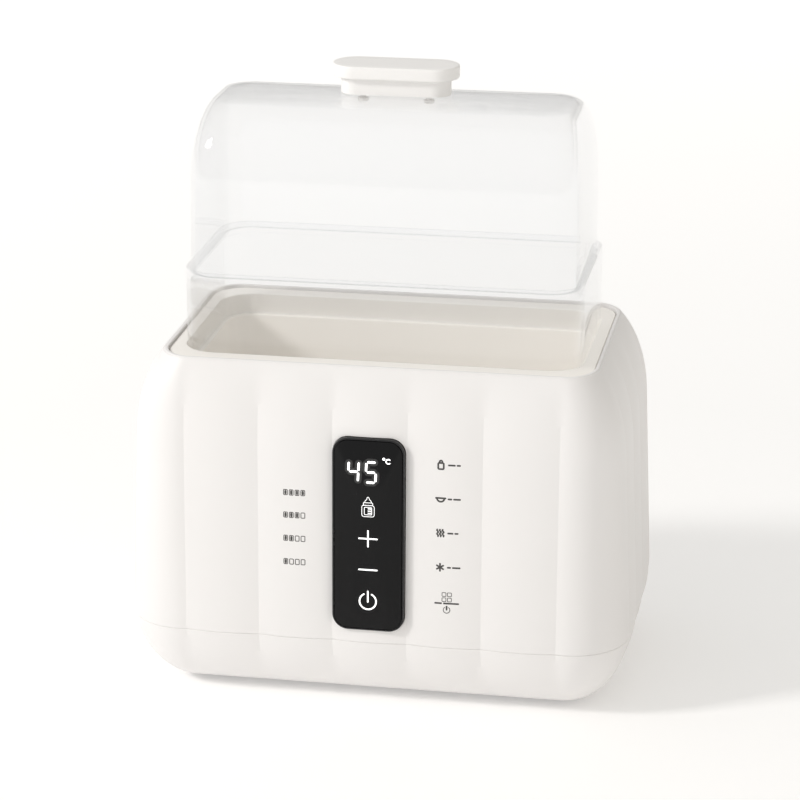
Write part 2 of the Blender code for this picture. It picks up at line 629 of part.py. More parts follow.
def make_panel():
    """Control panel: frame let into the front wall, glass, display board and what it carries."""
    frame = panel_prism("panel_frame", PANEL_W, PANEL_H, PANEL_CORNER, -PANEL_PROUD, PANEL_SINK,
                        BLACK_PLASTIC)
    glass_w = PANEL_W - 2 * FRAME_EDGE
    glass_h = PANEL_H - 2 * FRAME_EDGE
    glass_r = PANEL_CORNER - FRAME_EDGE
    seat = panel_prism("glass_seat", glass_w, glass_h, glass_r, -0.02,
                       -PANEL_PROUD + GLASS_T, BLACK_PLASTIC)
    combine(frame, seat, "DIFFERENCE")
    window = panel_prism("frame_window", PANEL_W - 4 * WINDOW_EDGE, PANEL_H - 4 * WINDOW_EDGE,
                         0.002, -0.02, 0.02, BLACK_PLASTIC)
    combine(frame, window, "DIFFERENCE")
    panel_prism("touch_panel", glass_w - 2 * CLEAR, glass_h - 2 * CLEAR, glass_r - CLEAR,
                -PANEL_PROUD - CLEAR / 3, -PANEL_PROUD + GLASS_T - CLEAR, BLACK_GLASS)
    board_hx = PANEL_W / 2 - WINDOW_EDGE - CLEAR
    board_hz = PANEL_H / 2 - WINDOW_EDGE - 0.001
    board = box("display_board", board_hx, BOARD_T / 2, board_hz, BOARD)
    on_panel(board, back=PANEL_SINK + DISPLAY_BOARD_GAP)
    near = PANEL_SINK + DISPLAY_BOARD_GAP - BOARD_T / 2 - CLEAR
    glass_back = -PANEL_PROUD + GLASS_T
    space = near - glass_back - CLEAR
    module = box("display_module", 0.0095, space / 2, 0.0075, PART_BLACK)
    on_panel(module, up=PANEL_H * 0.317, back=near - space / 2)
    for name, up in (("touch_pad_plus", -PANEL_H * 0.0156), ("touch_pad_minus", -PANEL_H * 0.1785),
                     ("touch_pad_power", -PANEL_H * 0.3444)):
        pad = turned(name, [(0.0040, -space / 2), (0.0040, space / 2)], PART_BLACK, 12)
        pad.data.transform(rotate_to_y())
        on_panel(pad, up=up, back=near - space / 2)
    far = PANEL_SINK + DISPLAY_BOARD_GAP + BOARD_T / 2 + CLEAR
    buzzer = turned("buzzer", [(0.0055, -0.0035), (0.0055, 0.0035)], PART_BLACK, 16)
    buzzer.data.transform(rotate_to_y())
    on_panel(buzzer, x=0.006, up=-0.020, back=far + 0.0035)
    for k, up in enumerate((-0.030, 0.030)):
        hold = box(f"board_clip_{k + 1}", 0.004, 0.0012, 0.0022, STEEL)
        on_panel(hold, x=-0.008, up=up, back=far + 0.0012)


def rotate_to_y():
    """Matrix that lays an upright body along Y."""
    from mathutils import Matrix
    return Matrix.Rotation(math.pi / 2, 4, "X")


def make_inlet():
    """Two-pin mains inlet through the back wall, with its flange inside."""
    top = INLET_Z + INLET_HZ + INLET_FLANGE
    inside = HALF_D - wall_inset(top) - WALL - CLEAR
    face = HALF_D - wall_inset(INLET_Z) - 0.0004

    def level(hx, hz, radius, y):
        plan = rounded(hx, hz, radius, 5)
        return np.column_stack([INLET_X - plan[:, 0], np.full(len(plan), y), INLET_Z + plan[:, 1]])

    wide = INLET_HX + INLET_FLANGE
    tall = INLET_HZ + INLET_FLANGE
    hollow_x = INLET_HX - INLET_WALL
    hollow_z = INLET_HZ - INLET_WALL
    back = face - INLET_DEPTH
    loft("mains_inlet", [
        level(INLET_HX, INLET_HZ, INLET_HZ - CLEAR, back),
        level(INLET_HX, INLET_HZ, INLET_HZ - CLEAR, inside - INLET_FLANGE_T),
        level(wide, tall, 0.002, inside - INLET_FLANGE_T),
        level(wide, tall, 0.002, inside),
        level(INLET_HX, INLET_HZ, INLET_HZ - CLEAR, inside),
        level(INLET_HX, INLET_HZ, INLET_HZ - CLEAR, face),
        level(hollow_x, hollow_z, hollow_z - CLEAR, face),
        level(hollow_x, hollow_z, hollow_z - CLEAR, face - SOCKET_DEPTH),
    ], PART_BLACK)
    for k, side in enumerate((-1, 1)):
        pin = turned(f"inlet_pin_{k + 1}", [(PIN_R, 0), (PIN_R, PIN_LENGTH - PIN_R),
                                            (PIN_R * 0.5, PIN_LENGTH)], BRASS, 12)
        pin.rotation_euler = (-math.pi / 2, 0, 0)
        pin.location = (INLET_X + side * PIN_SPACING / 2, face - SOCKET_DEPTH + CLEAR, INLET_Z)
    return back


def make_leads(inlet_back, plate_low):
    """Leads inside the base: mains, heating element and display."""
    board_top = POWER_BOARD_Z + BOARD_T + CLEAR
    end_y = inlet_back - CLEAR
    for k, side in enumerate((-1, 1)):
        x = INLET_X + side * PIN_SPACING / 2
        wire(f"mains_lead_{k + 1}", [(x, end_y, INLET_Z), (x, end_y - 0.005, INLET_Z - 0.0005),
                                     (x + 0.001, end_y - 0.009, 0.046), (x - 0.004, 0.042, 0.034),
                                     (0.030 + side * 0.004, 0.0225 + 0.002, board_top + 0.004)], 0.0011, LEAD)
    end = plate_low - CLEAR - ELEMENT_TUBE_R
    for k, side in enumerate((-1, 1)):
        start = np.radians(side * 25)
        away = np.array((math.sin(abs(start)), -side * math.cos(start)))
        tip = np.array((ELEMENT_R * math.cos(start), ELEMENT_R * math.sin(start)))
        tip = tip + away * 0.0013
        near = tip + away * 0.003
        wire(f"heater_lead_{k + 1}", [(*tip, end), (*near, end - 0.0005), (0.040, side * 0.0045, end - 0.007),
                                      (0.0445, side * 0.003, 0.028), (0.0455, side * 0.003, board_top + 0.0004)],
             0.0011, LEAD)
    wire("display_lead", [(-0.010, -0.0615, 0.062), (-0.010, -0.060, 0.052), (-0.012, -0.052, 0.040),
                          (-0.014, -0.036, 0.030), (-0.014, -0.024, board_top + 0.0022)], 0.0018, PART_BLACK)


def make_feet_and_screws(tower_top):
    """Rubber feet in their seats and the base screws in their counterbores."""
    for k, (sx, sy) in enumerate(((-1, -1), (-1, 1), (1, -1), (1, 1))):
        profile = [(FOOT_R - 0.001, 0.0), (FOOT_R, 0.0008), (FOOT_R, FOOT_GAP + FOOT_SINK - CLEAR)]
        turned(f"foot_{k + 1}", profile, RUBBER, 20, (sx * FOOT_X, sy * FOOT_Y))
    for k, (x, y) in enumerate(screw_places()):
        head = COUNTERBORE_Z - CLEAR - SCREW_HEAD_H
        screw(f"base_screw_{k + 1}", x, y, head, tower_top + 0.009 - head, STEEL)


def make_basket():
    """Lift-out bottle basket: low walls, a slotted floor and four feet."""
    low_x = MOUTH_HX - SEAT_W - TANK_TAPER - BASKET_SIDE_GAP
    low_y = MOUTH_HY - SEAT_W - TANK_TAPER - BASKET_SIDE_GAP
    radius = MOUTH_R - SEAT_W - BASKET_SIDE_GAP
    low = TANK_FLOOR_Z + BASKET_FOOT_H + CLEAR
    top = low + BASKET_H

    def level(inward, z):
        return at_height(rounded(low_x - inward, low_y - inward, max(radius - inward, 0.004), 5), z)

    w = BASKET_WALL
    basket = loft("bottle_basket", [
        level(0.007, low), level(0.003, low + 0.001), level(0.0, low + 0.008), level(0.0, top),
        level(w, top), level(w, low + 0.009), level(w + 0.003, low + BASKET_FLOOR + 0.001),
        level(w + 0.005, low + BASKET_FLOOR)], LINER)
    pitch = 2 * (low_x - 0.016) / BASKET_SLOTS
    for k in range(BASKET_SLOTS):
        x = (k - (BASKET_SLOTS - 1) / 2) * pitch
        slot = box(f"basket_slot_{k}", BASKET_SLOT_W / 2, low_y - 0.014, 0.02, LINER, (x, 0, low))
        combine(basket, slot, "DIFFERENCE")
    for k, (sx, sy) in enumerate(((-1, -1), (-1, 1), (1, -1), (1, 1))):
        leg = [(0.004, TANK_FLOOR_Z + CLEAR), (0.0045, low + BASKET_FLOOR / 2)]
        place = (sx * (low_x - 0.020), sy * (low_y - 0.0095))
        combine(basket, turned(f"basket_leg_{k}", leg, LINER, 12, place), "UNION")


def make_collar():
    """Clear collar that stands on the liner's seat, with an inner seat for the lid."""
    def level(inward, z):
        return at_height(rounded(COLLAR_HX - inward, COLLAR_HY - inward, COLLAR_R - inward, 6), z)

    low = SEAT_Z + CLEAR
    seat = COLLAR_TOP_Z - LID_SEAT_DROP
    wide = COLLAR_T + LID_SEAT_W
    loft("collar", [
        level(0, low), level(0, COLLAR_TOP_Z - 0.0006), level(0.0006, COLLAR_TOP_Z),
        level(COLLAR_T, COLLAR_TOP_Z), level(COLLAR_T, seat), level(wide, seat),
        level(wide, seat - LID_SEAT_T), level(COLLAR_T, seat - LID_SEAT_T - LID_SEAT_W * 0.6),
        level(COLLAR_T, low)], CLEAR_PLASTIC, ring=True)


def lid_loop(z, inward=0.0, height=None):
    """Outline of the lid's outer surface at z, moved inward."""
    gap = COLLAR_T + LID_SIDE_GAP + inward
    off = gap + LID_DRAFT * (z - COLLAR_TOP_Z)
    curve = quarter_in((z - LID_SHOULDER_Z) / LID_DOME_H, LID_POWER)
    hx = COLLAR_HX - off - LID_END_IN * curve
    hy = COLLAR_HY - off - LID_FRONT_IN * curve
    radius = min(max(COLLAR_R - gap, 0.006), hy * 0.98)
    return at_height(rounded(hx, hy, radius, 6), z if height is None else height)


def make_lid():
    """Clear domed lid, with two holes for the pins that hold the handle."""
    low = COLLAR_TOP_Z - LID_SEAT_DROP + CLEAR
    rise = list(eased(LID_SHOULDER_Z, LID_TOP_Z, 5, crowd_high=True))
    top = LID_TOP_Z + LID_CROWN
    crown = [(0.5, 0.7), (0.16, 1.0)]
    outer = [lid_loop(z) for z in [low] + rise]
    edge = outer[-1]
    for share, up in crown:
        loop = edge.copy()
        loop[:, :2] *= share
        loop[:, 2] = LID_TOP_Z + LID_CROWN * up
        outer.append(loop)
    inner = [lid_loop(z - LID_T, inward=LID_T) for z in rise]
    inner = [lid_loop(low, inward=LID_T)] + inner
    edge = inner[-1]
    for share, up in crown:
        loop = edge.copy()
        loop[:, :2] *= share
        loop[:, 2] = LID_TOP_Z - LID_T + LID_CROWN * up
        inner.append(loop)
    lid = loft("lid_shell", outer[::-1] + inner, CLEAR_PLASTIC)
    for k, side in enumerate((-1, 1)):
        bore = [(SCREW_R + CLEAR, top - 0.01), (SCREW_R + CLEAR, top + 0.01)]
        combine(lid, turned(f"lid_bore_{k}", bore, CLEAR_PLASTIC, 12, (side * HANDLE_PIN_X, 0)), "DIFFERENCE")
    plate_low = HANDLE_TOP_Z - HANDLE_PLATE_T

    def level(hx, hy, z):
        return at_height(rounded(hx, hy, hy * 0.98, 8), z)

    neck_low = top + CLEAR
    edge = 0.0012
    handle = loft("lid_handle", [
        level(NECK_HX, NECK_HY, neck_low), level(NECK_HX, NECK_HY, plate_low),
        level(HANDLE_HX - edge, HANDLE_HY - edge, plate_low), level(HANDLE_HX, HANDLE_HY, plate_low + edge),
        level(HANDLE_HX, HANDLE_HY, HANDLE_TOP_Z - edge),
        level(HANDLE_HX - edge, HANDLE_HY - edge, HANDLE_TOP_Z)], CREAM)
    for k, side in enumerate((-1, 1)):
        bore = [(SCREW_R + CLEAR, neck_low - 0.005), (SCREW_R + CLEAR, neck_low + 0.0085)]
        combine(handle, turned(f"handle_bore_{k}", bore, CREAM, 12, (side * HANDLE_PIN_X, 0)), "DIFFERENCE")
        head = top - LID_T - CLEAR - SCREW_HEAD_H - 0.0006
        screw(f"handle_pin_{k + 1}", side * HANDLE_PIN_X, 0, head, 0.012, CREAM)


make_housing()
TOWER_TOP = make_base()
UNDER_Z, CLAMP_Z = make_liner(TOWER_TOP)
PLATE_LOW = make_heater(UNDER_Z, CLAMP_Z)
make_power_board()
make_panel()
INLET_BACK = make_inlet()
make_leads(INLET_BACK, PLATE_LOW)
make_feet_and_screws(TOWER_TOP)
make_basket()
make_collar()
make_lid()
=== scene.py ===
"""Looks of the bottle steriliser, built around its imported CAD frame. Metres, +Z up, front towards -Y."""

import json
import math

import bmesh
import bpy
import numpy as np
from mathutils import Matrix, Vector


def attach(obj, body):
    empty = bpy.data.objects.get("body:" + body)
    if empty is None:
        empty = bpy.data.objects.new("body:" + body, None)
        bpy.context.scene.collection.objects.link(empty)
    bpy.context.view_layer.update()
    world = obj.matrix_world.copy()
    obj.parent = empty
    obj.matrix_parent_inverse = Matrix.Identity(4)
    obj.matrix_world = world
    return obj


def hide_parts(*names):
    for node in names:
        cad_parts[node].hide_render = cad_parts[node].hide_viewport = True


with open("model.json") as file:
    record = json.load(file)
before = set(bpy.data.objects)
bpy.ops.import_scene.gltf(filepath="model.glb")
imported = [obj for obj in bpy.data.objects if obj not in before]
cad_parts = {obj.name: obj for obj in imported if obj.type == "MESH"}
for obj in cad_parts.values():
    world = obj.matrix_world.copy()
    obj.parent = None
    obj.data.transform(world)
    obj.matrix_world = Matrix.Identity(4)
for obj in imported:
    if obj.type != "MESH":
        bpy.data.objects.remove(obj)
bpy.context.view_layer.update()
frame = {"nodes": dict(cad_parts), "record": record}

# ---- housing -----------------------------------------------------------------------------
# The moulded cream upper shell. A rounded plan carries convex flutes; the wall leans in and rolls
# over at the shoulder to a lip, with a shelf inside for the deck. It stands on the base shell.

FRONT_FLUTES, FRONT_FLUTE_W = 5, 0.0385
SIDE_FLUTES, SIDE_FLUTE_W = 3, 0.031
CORNER_R = 0.034
FLUTE_RISE, CORNER_RISE = 0.0016, 0.0022
DRAFT = 0.04
FOOT_GAP, SEAM_Z, RIM_Z = 0.002, 0.0385, 0.182
SHOULDER_Z, SHOULDER_IN, SHOULDER_UP, SHOULDER_POWER = 0.1375, 0.025, 0.054, 2.28
SHOULDER_SIDE_EXTRA = 0.0033
KEEL_Z, KEEL_IN, KEEL_DOWN, KEEL_POWER = 0.0435, 0.0305, 0.0415, 1.82
WALL, LIP_T, SHELF_W, SHELF_T = 0.0025, 0.002, 0.0038, 0.002
DECK_DROP, DECK_T, DECK_GAP = 0.0013, 0.0022, 0.0008
CLEAR = 0.0003
HALF_FRONT = FRONT_FLUTES * FRONT_FLUTE_W / 2
HALF_SIDE = SIDE_FLUTES * SIDE_FLUTE_W / 2
HALF_W, HALF_D = HALF_FRONT + CORNER_R, HALF_SIDE + CORNER_R
DECK_Z = RIM_Z - DECK_DROP
FLUTE_STEPS, CORNER_STEPS = 12, 18


def quarter_in(share, power):
    """Superellipse quarter: 1 - (1 - share^power)^(1/power), from 0 to 1."""
    share = min(max(share, 0.0), 1.0)
    return 1 - (1 - share ** power) ** (1 / power)


def wall_inset(z):
    """Draft plus the shoulder's and the keel's superellipse, at height z."""
    inset = DRAFT * (z - SEAM_Z)
    inset += SHOULDER_IN * quarter_in((z - SHOULDER_Z) / SHOULDER_UP, SHOULDER_POWER)
    return inset + KEEL_IN * quarter_in((KEEL_Z - z) / KEEL_DOWN, KEEL_POWER)


def flute_depth(z):
    """Share of the flutes' depth left at z: 1 - up^3 at the shoulder, 1 - down^2 at the keel."""
    up = min(max((z - SHOULDER_Z) / (RIM_Z - SHOULDER_Z), 0.0), 1.0)
    down = min(max((KEEL_Z - z) / (KEEL_Z - FOOT_GAP), 0.0), 1.0)
    return (1 - up ** 3) * (1 - down ** 2)


def at_height(plan, z):
    """Plan points lifted to height z."""
    return np.column_stack([plan, np.full(len(plan), z)])


def body_loop(z, height=None, inward=0.0, fluted=True):
    """Wall outline at z, drawn at height and moved inward. A flute's crown stands out by
    rise * 4u(1 - u), with u running from 0 to 1 between its grooves."""
    inset = wall_inset(z) + inward
    extra = SHOULDER_SIDE_EXTRA * min(max((z - SHOULDER_Z) / (RIM_Z - SHOULDER_Z), 0.0), 1.0) ** 2
    depth = flute_depth(z) if fluted else 0.0
    rx, ry = CORNER_R - inset - extra, CORNER_R - inset
    x, y = HALF_W - inset - extra, HALF_D - inset
    sides = (((-HALF_FRONT, -y), (HALF_FRONT, -y), FRONT_FLUTES, (0, -1), (1, -1), -90),
             ((x, -HALF_SIDE), (x, HALF_SIDE), SIDE_FLUTES, (1, 0), (1, 1), 0),
             ((HALF_FRONT, y), (-HALF_FRONT, y), FRONT_FLUTES, (0, 1), (-1, 1), 90),
             ((-x, HALF_SIDE), (-x, -HALF_SIDE), SIDE_FLUTES, (-1, 0), (-1, -1), 180))
    loop = []
    for start, end, flutes, normal, turn, angle in sides:
        start, end, normal = map(np.array, (start, end, normal))
        for k in range(flutes * FLUTE_STEPS):
            u = (k % FLUTE_STEPS) / FLUTE_STEPS
            share = k / (flutes * FLUTE_STEPS)
            loop.append(start + (end - start) * share + normal * FLUTE_RISE * depth * 4 * u * (1 - u))
        centre = np.array((turn[0] * HALF_FRONT, turn[1] * HALF_SIDE))
        for k in range(CORNER_STEPS):
            u = k / CORNER_STEPS
            way = math.radians(angle + 90 * u)
            out = np.array((math.cos(way), math.sin(way)))
            loop.append(centre + out * (rx, ry) + out * CORNER_RISE * depth * 4 * u * (1 - u))
    return at_height(np.array(loop), z if height is None else height)


def eased(low, high, steps, crowd_high):
    """Heights from low to high, crowded towards one end by a sine."""
    share = np.linspace(0, math.pi / 2, steps + 1)
    return low + (high - low) * (np.sin(share) if crowd_high else 1 - np.cos(share))


class Look:
    """Small builder for a node material around one Principled shader."""

    def __init__(self, name, colour, roughness, metallic=0.0, **sockets):
        self.material = bpy.data.materials.new(name)
        self.material.use_nodes = True
        self.tree = self.material.node_tree
        self.shader = self.tree.nodes["Principled BSDF"]
        self.shader.inputs["Base Color"].default_value = (*colour, 1)
        self.shader.inputs["Roughness"].default_value = roughness
        self.shader.inputs["Metallic"].default_value = metallic
        for key, value in sockets.items():
            self.shader.inputs[key.replace("_", " ")].default_value = value
        self.colour = colour
        self.roughness = roughness
        self.coordinates = self.tree.nodes.new("ShaderNodeTexCoord").outputs["Object"]

    def noise(self, scale, detail=3.0):
        """Noise in object space; scale is cells to the metre."""
        node = self.tree.nodes.new("ShaderNodeTexNoise")
        node.inputs["Scale"].default_value = scale
        node.inputs["Detail"].default_value = detail
        self.tree.links.new(self.coordinates, node.inputs["Vector"])
        return node.outputs["Fac"]

    def remap(self, source, low, high):
        """A noise value spread from low to high."""
        node = self.tree.nodes.new("ShaderNodeMapRange")
        node.inputs["From Min"].default_value = 0.3
        node.inputs["From Max"].default_value = 0.7
        node.inputs["To Min"].default_value = low
        node.inputs["To Max"].default_value = high
        self.tree.links.new(source, node.inputs["Value"])
        return node.outputs["Result"]

    def vary_colour(self, scale, other, detail=3.0):
        """Blend the base colour with another by noise."""
        node = self.tree.nodes.new("ShaderNodeMix")
        node.data_type = "RGBA"
        node.inputs[6].default_value = (*self.colour, 1)
        node.inputs[7].default_value = (*other, 1)
        self.tree.links.new(self.remap(self.noise(scale, detail), 0, 1), node.inputs[0])
        self.tree.links.new(node.outputs[2], self.shader.inputs["Base Color"])
        return self

    def vary_roughness(self, scale, spread):
        """Roughness that runs spread either side of its value."""
        low, high = self.roughness - spread, self.roughness + spread
        value = self.remap(self.noise(scale), low, high)
        self.tree.links.new(value, self.shader.inputs["Roughness"])
        return self

    def grain(self, scale, depth, detail=4.0):
        """Fine relief; depth in metres."""
        node = self.tree.nodes.new("ShaderNodeBump")
        node.inputs["Strength"].default_value = 1.0
        node.inputs["Distance"].default_value = depth
        self.tree.links.new(self.noise(scale, detail), node.inputs["Height"])
        self.tree.links.new(node.outputs["Normal"], self.shader.inputs["Normal"])
        return self


cream = Look("cream_plastic", (0.848, 0.831, 0.822), 0.46)
cream.vary_colour(9, (0.838, 0.819, 0.808), 2).vary_roughness(60, 0.035).grain(2600, 0.000012)
# A smoother copy of the cream, painted lighter: the extra lightness stands in for light from above on the
# grip.
cream_smooth_painted_light = Look("cream_plastic_smooth_painted_light", (0.90, 0.888, 0.875), 0.40)
cream_smooth_painted_light.vary_colour(14, (0.89, 0.876, 0.862), 2).vary_roughness(90, 0.03).grain(3200, 0.000008)

EDGE = 0.0006
heights = [SEAM_Z + 0.0003, SEAM_Z + 0.0010] + list(np.linspace(SEAM_Z + 0.003, SHOULDER_Z, 22))
heights += list(eased(SHOULDER_Z, RIM_Z - EDGE, 26, True)[1:])
loops = [body_loop(SEAM_Z, inward=0.0002)] + [body_loop(z) for z in heights]
for share in np.linspace(0.125, 0.875, 7):
    turn = share * math.pi / 2
    loops.append(body_loop(RIM_Z, RIM_Z - EDGE * (1 - math.sin(turn)), EDGE * (1 - math.cos(turn)), False))
shelf_z = DECK_Z - DECK_T - CLEAR
for inward, height in ((EDGE, RIM_Z), (LIP_T - 0.0004, RIM_Z), (LIP_T - 0.0001, RIM_Z - 0.0001),
                       (LIP_T, RIM_Z - 0.0004), (LIP_T, shelf_z), (LIP_T + SHELF_W, shelf_z),
                       (LIP_T + SHELF_W, shelf_z - SHELF_T)):
    loops.append(body_loop(RIM_Z, height, inward, False))
for z in (shelf_z - SHELF_T - 0.0005, shelf_z - SHELF_T - 0.012, SHOULDER_Z, KEEL_Z, SEAM_Z):
    loops.append(body_loop(z, inward=WALL, fluted=False))


def new_object(name, points, faces, angle=35):
    """Mesh object with faces turned outwards, smooth except across edges sharper than angle."""
    mesh = bpy.data.meshes.new(name)
    mesh.from_pydata([tuple(map(float, p)) for p in points], [], faces)
    shape = bmesh.new()
    shape.from_mesh(mesh)
    bmesh.ops.recalc_face_normals(shape, faces=shape.faces)
    shape.to_mesh(mesh)
    shape.free()
    mesh.shade_smooth()
    mesh.set_sharp_from_angle(angle=math.radians(angle))
    made = bpy.data.objects.new(name, mesh)
    bpy.context.scene.collection.objects.link(made)
    return made


def skin(name, loops, ring=False, angle=35):
    """Quads between neighbouring loops; ring closes last to first, else both ends get a fan."""
    count = len(loops[0])
    points = [p for loop in loops for p in loop]
    faces = []
    rows = len(loops) if ring else len(loops) - 1
    for row in range(rows):
        low = row * count
        high = ((row + 1) % len(loops)) * count
        faces += [(low + k, low + (k + 1) % count, high + (k + 1) % count, high + k) for k in range(count)]
    if not ring:
        for start, loop in ((0, loops[0]), ((len(loops) - 1) * count, loops[-1])):
            points.append(np.mean(loop, axis=0))
            faces += [(start + k, start + (k + 1) % count, len(points) - 1) for k in range(count)]
    return new_object(name, points, faces, angle)


CREASE = 14
housing = skin("fluted_housing", loops, ring=True, angle=CREASE)

PANEL_W, PANEL_H, PANEL_LOW_Z, PANEL_CORNER = 0.0372, 0.1025, 0.0459, 0.0082
PANEL_PROUD, PANEL_SINK, FRAME_EDGE, GLASS_T, WINDOW_EDGE = 0.0032, 0.0009, 0.0009, 0.0016, 0.0045
TILT = math.atan(DRAFT)
PANEL_MID_Z = PANEL_LOW_Z + PANEL_H / 2 * math.cos(TILT)
PANEL_FACE_Y = -(HALF_D - DRAFT * (PANEL_MID_Z - SEAM_Z))


def on_panel(points):
    """Panel coordinates (x, depth, up) to the part's: turned about X by the wall's lean."""
    points = np.atleast_2d(points)
    return np.column_stack([points[:, 0],
                            PANEL_FACE_Y + points[:, 1] * math.cos(TILT) + points[:, 2] * math.sin(TILT),
                            PANEL_MID_Z - points[:, 1] * math.sin(TILT) + points[:, 2] * math.cos(TILT)])


def rounded(hx, hy, radius, steps=14):
    """Rounded rectangle outline: four quarter circles of the radius, centred inside the corners."""
    loop = []
    for sx, sy, start in ((1, -1, -90), (1, 1, 0), (-1, 1, 90), (-1, -1, 180)):
        for angle in np.radians(np.linspace(start, start + 90, steps + 1)):
            loop.append((sx * (hx - radius) + radius * math.cos(angle),
                         sy * (hy - radius) + radius * math.sin(angle)))
    return np.array(loop)


def panel_plate(name, width, height, radius, path):
    """Rounded plate on the panel from (inset, depth) steps."""
    loops = []
    for inset, depth in path:
        plan = rounded(width / 2 - inset, height / 2 - inset, radius - inset)
        loops.append(on_panel(np.column_stack([plan[:, 0], np.full(len(plan), depth), plan[:, 1]])))
    return skin(name, loops)


def combine(target, other, how, angle=35):
    """Boolean with a hidden tool, applied at once so that the tool can be removed."""
    change = target.modifiers.new(how, "BOOLEAN")
    change.operation = how
    change.solver = "EXACT"
    change.object = other
    view = bpy.context.evaluated_depsgraph_get()
    result = bpy.data.meshes.new_from_object(target.evaluated_get(view))
    target.modifiers.clear()
    target.data = result
    bpy.data.objects.remove(other)
    target.data.set_sharp_from_angle(angle=math.radians(angle))


combine(housing, panel_plate("pocket", PANEL_W + 2 * CLEAR, PANEL_H + 2 * CLEAR, PANEL_CORNER + CLEAR,
                             [(0, -0.02), (0, PANEL_SINK + CLEAR)]), "DIFFERENCE", CREASE)
combine(housing, panel_plate("window", PANEL_W - 2 * WINDOW_EDGE, PANEL_H - 2 * WINDOW_EDGE,
                             PANEL_CORNER / 2, [(0, -0.02), (0, 0.02)]), "DIFFERENCE", CREASE)

INLET_X, INLET_Z, INLET_HX, INLET_HZ = 0.0385, 0.058, 0.0115, 0.0062


def back_loop(hx, hz, radius, y):
    """Rounded outline facing the back, about the inlet."""
    plan = rounded(hx, hz, radius, 10)
    return np.column_stack([INLET_X - plan[:, 0], np.full(len(plan), y), INLET_Z + plan[:, 1]])


hole = [back_loop(INLET_HX + CLEAR, INLET_HZ + CLEAR, INLET_HZ, y) for y in (HALF_D - 0.02, HALF_D + 0.02)]
combine(housing, skin("hole", hole), "DIFFERENCE", CREASE)


def wear(piece, look, body, *nodes, slot=None):
    """Give a piece its look and its body, and hide the CAD nodes it stands for."""
    piece.data.materials.clear()
    piece.data.materials.append(look.material)
    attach(piece, body)
    if nodes:
        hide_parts(*nodes)
    return piece


wear(housing, cream, "base", "housing_shell", slot="cream_plastic")

# ---- base shell --------------------------------------------------------------------------
# The moulded cream lower shell: the same outline below the seam, curled under at the keel. A tongue
# goes up inside the housing, and four screws come up through its towers.

SEAM_GAP, TONGUE_H, TONGUE_T, BASE_FLOOR_T = 0.0001, 0.0035, 0.0015, 0.0025
top = SEAM_Z - SEAM_GAP
floor_z = FOOT_GAP + BASE_FLOOR_T
tongue = WALL + CLEAR
inset_here = tongue + wall_inset(SEAM_Z + TONGUE_H) - wall_inset(top)
loops = [body_loop(z) for z in eased(FOOT_GAP, top - 0.0004, 26, False)]
loops += [body_loop(top, inward=0.0002), body_loop(top, inward=inset_here, fluted=False)]
loops += [body_loop(SEAM_Z + TONGUE_H, inward=inward, fluted=False) for inward in (tongue, tongue + TONGUE_T)]
for z in eased(floor_z, top, 8, False)[::-1]:
    thick = WALL + (inset_here + TONGUE_T - WALL) * (z - floor_z) / (top - floor_z)
    loops.append(body_loop(z - BASE_FLOOR_T, z, thick, False))
base = skin("fluted_base", loops, angle=CREASE)


def circle(radius, sides=48, centre=(0.0, 0.0)):
    """Points on a circle, equally spaced."""
    turn = np.linspace(0, 2 * math.pi, sides, endpoint=False)
    return np.column_stack([centre[0] + radius * np.cos(turn), centre[1] + radius * np.sin(turn)])


def turned(name, path, sides=48, centre=(0.0, 0.0), ring=False):
    """Body of revolution about a vertical line from (radius, z) points."""
    return skin(name, [at_height(circle(r, sides, centre), z) for r, z in path], ring)


FOOT_X, FOOT_Y, FOOT_R, FOOT_SINK = 0.086, 0.036, 0.0085, 0.0014
BASE_SCREW_X, BASE_SCREW_Y, TOWER_R, TOWER_TOP = 0.066, 0.038, 0.0048, 0.0408
SCREW_HEAD_R, SCREW_R, COUNTERBORE_Z = 0.0028, 0.0015, 0.012
for sx in (-1, 1):
    for sy in (-1, 1):
        spot = (sx * BASE_SCREW_X, sy * BASE_SCREW_Y)
        combine(base, turned("tower", [(TOWER_R, 0.00325), (TOWER_R, TOWER_TOP)], 32, spot), "UNION", CREASE)
        wide, narrow = SCREW_HEAD_R + 2 * CLEAR, SCREW_R + CLEAR
        bore = [(wide, -0.01), (wide, COUNTERBORE_Z), (narrow, COUNTERBORE_Z), (narrow, TOWER_TOP + 0.01)]
        combine(base, turned("bore", bore, 32, spot), "DIFFERENCE", CREASE)
        seat = [(FOOT_R + CLEAR, -0.01), (FOOT_R + CLEAR, FOOT_GAP + FOOT_SINK)]
        combine(base, turned("seat", seat, 48, (sx * FOOT_X, sy * FOOT_Y)), "DIFFERENCE", CREASE)
wear(base, cream, "base", "base_shell", slot="cream_plastic")

# ---- feet --------------------------------------------------------------------------------
# Four soft round feet pressed into shallow seats under the base shell. They are moulded rubber
# discs that lift it 2 mm off the surface.


def eased_corners(path, radius, steps=4, closed=False):
    """Round the corners of a polyline: each is replaced with a quadratic curve that leaves and
    meets its two sides at the radius, or at 0.45 of the shorter side."""
    path = [np.array(p, float) for p in path]
    out = []
    for k, corner in enumerate(path):
        if not closed and k in (0, len(path) - 1):
            out.append(corner)
            continue
        before = path[k - 1] - corner
        after = path[(k + 1) % len(path)] - corner
        reach = min(radius, 0.45 * np.linalg.norm(before), 0.45 * np.linalg.norm(after))
        start = corner + before / np.linalg.norm(before) * reach
        end = corner + after / np.linalg.norm(after) * reach
        for t in np.linspace(0, 1, steps + 1):
            out.append((1 - t) ** 2 * start + 2 * t * (1 - t) * corner + t ** 2 * end)
    return out


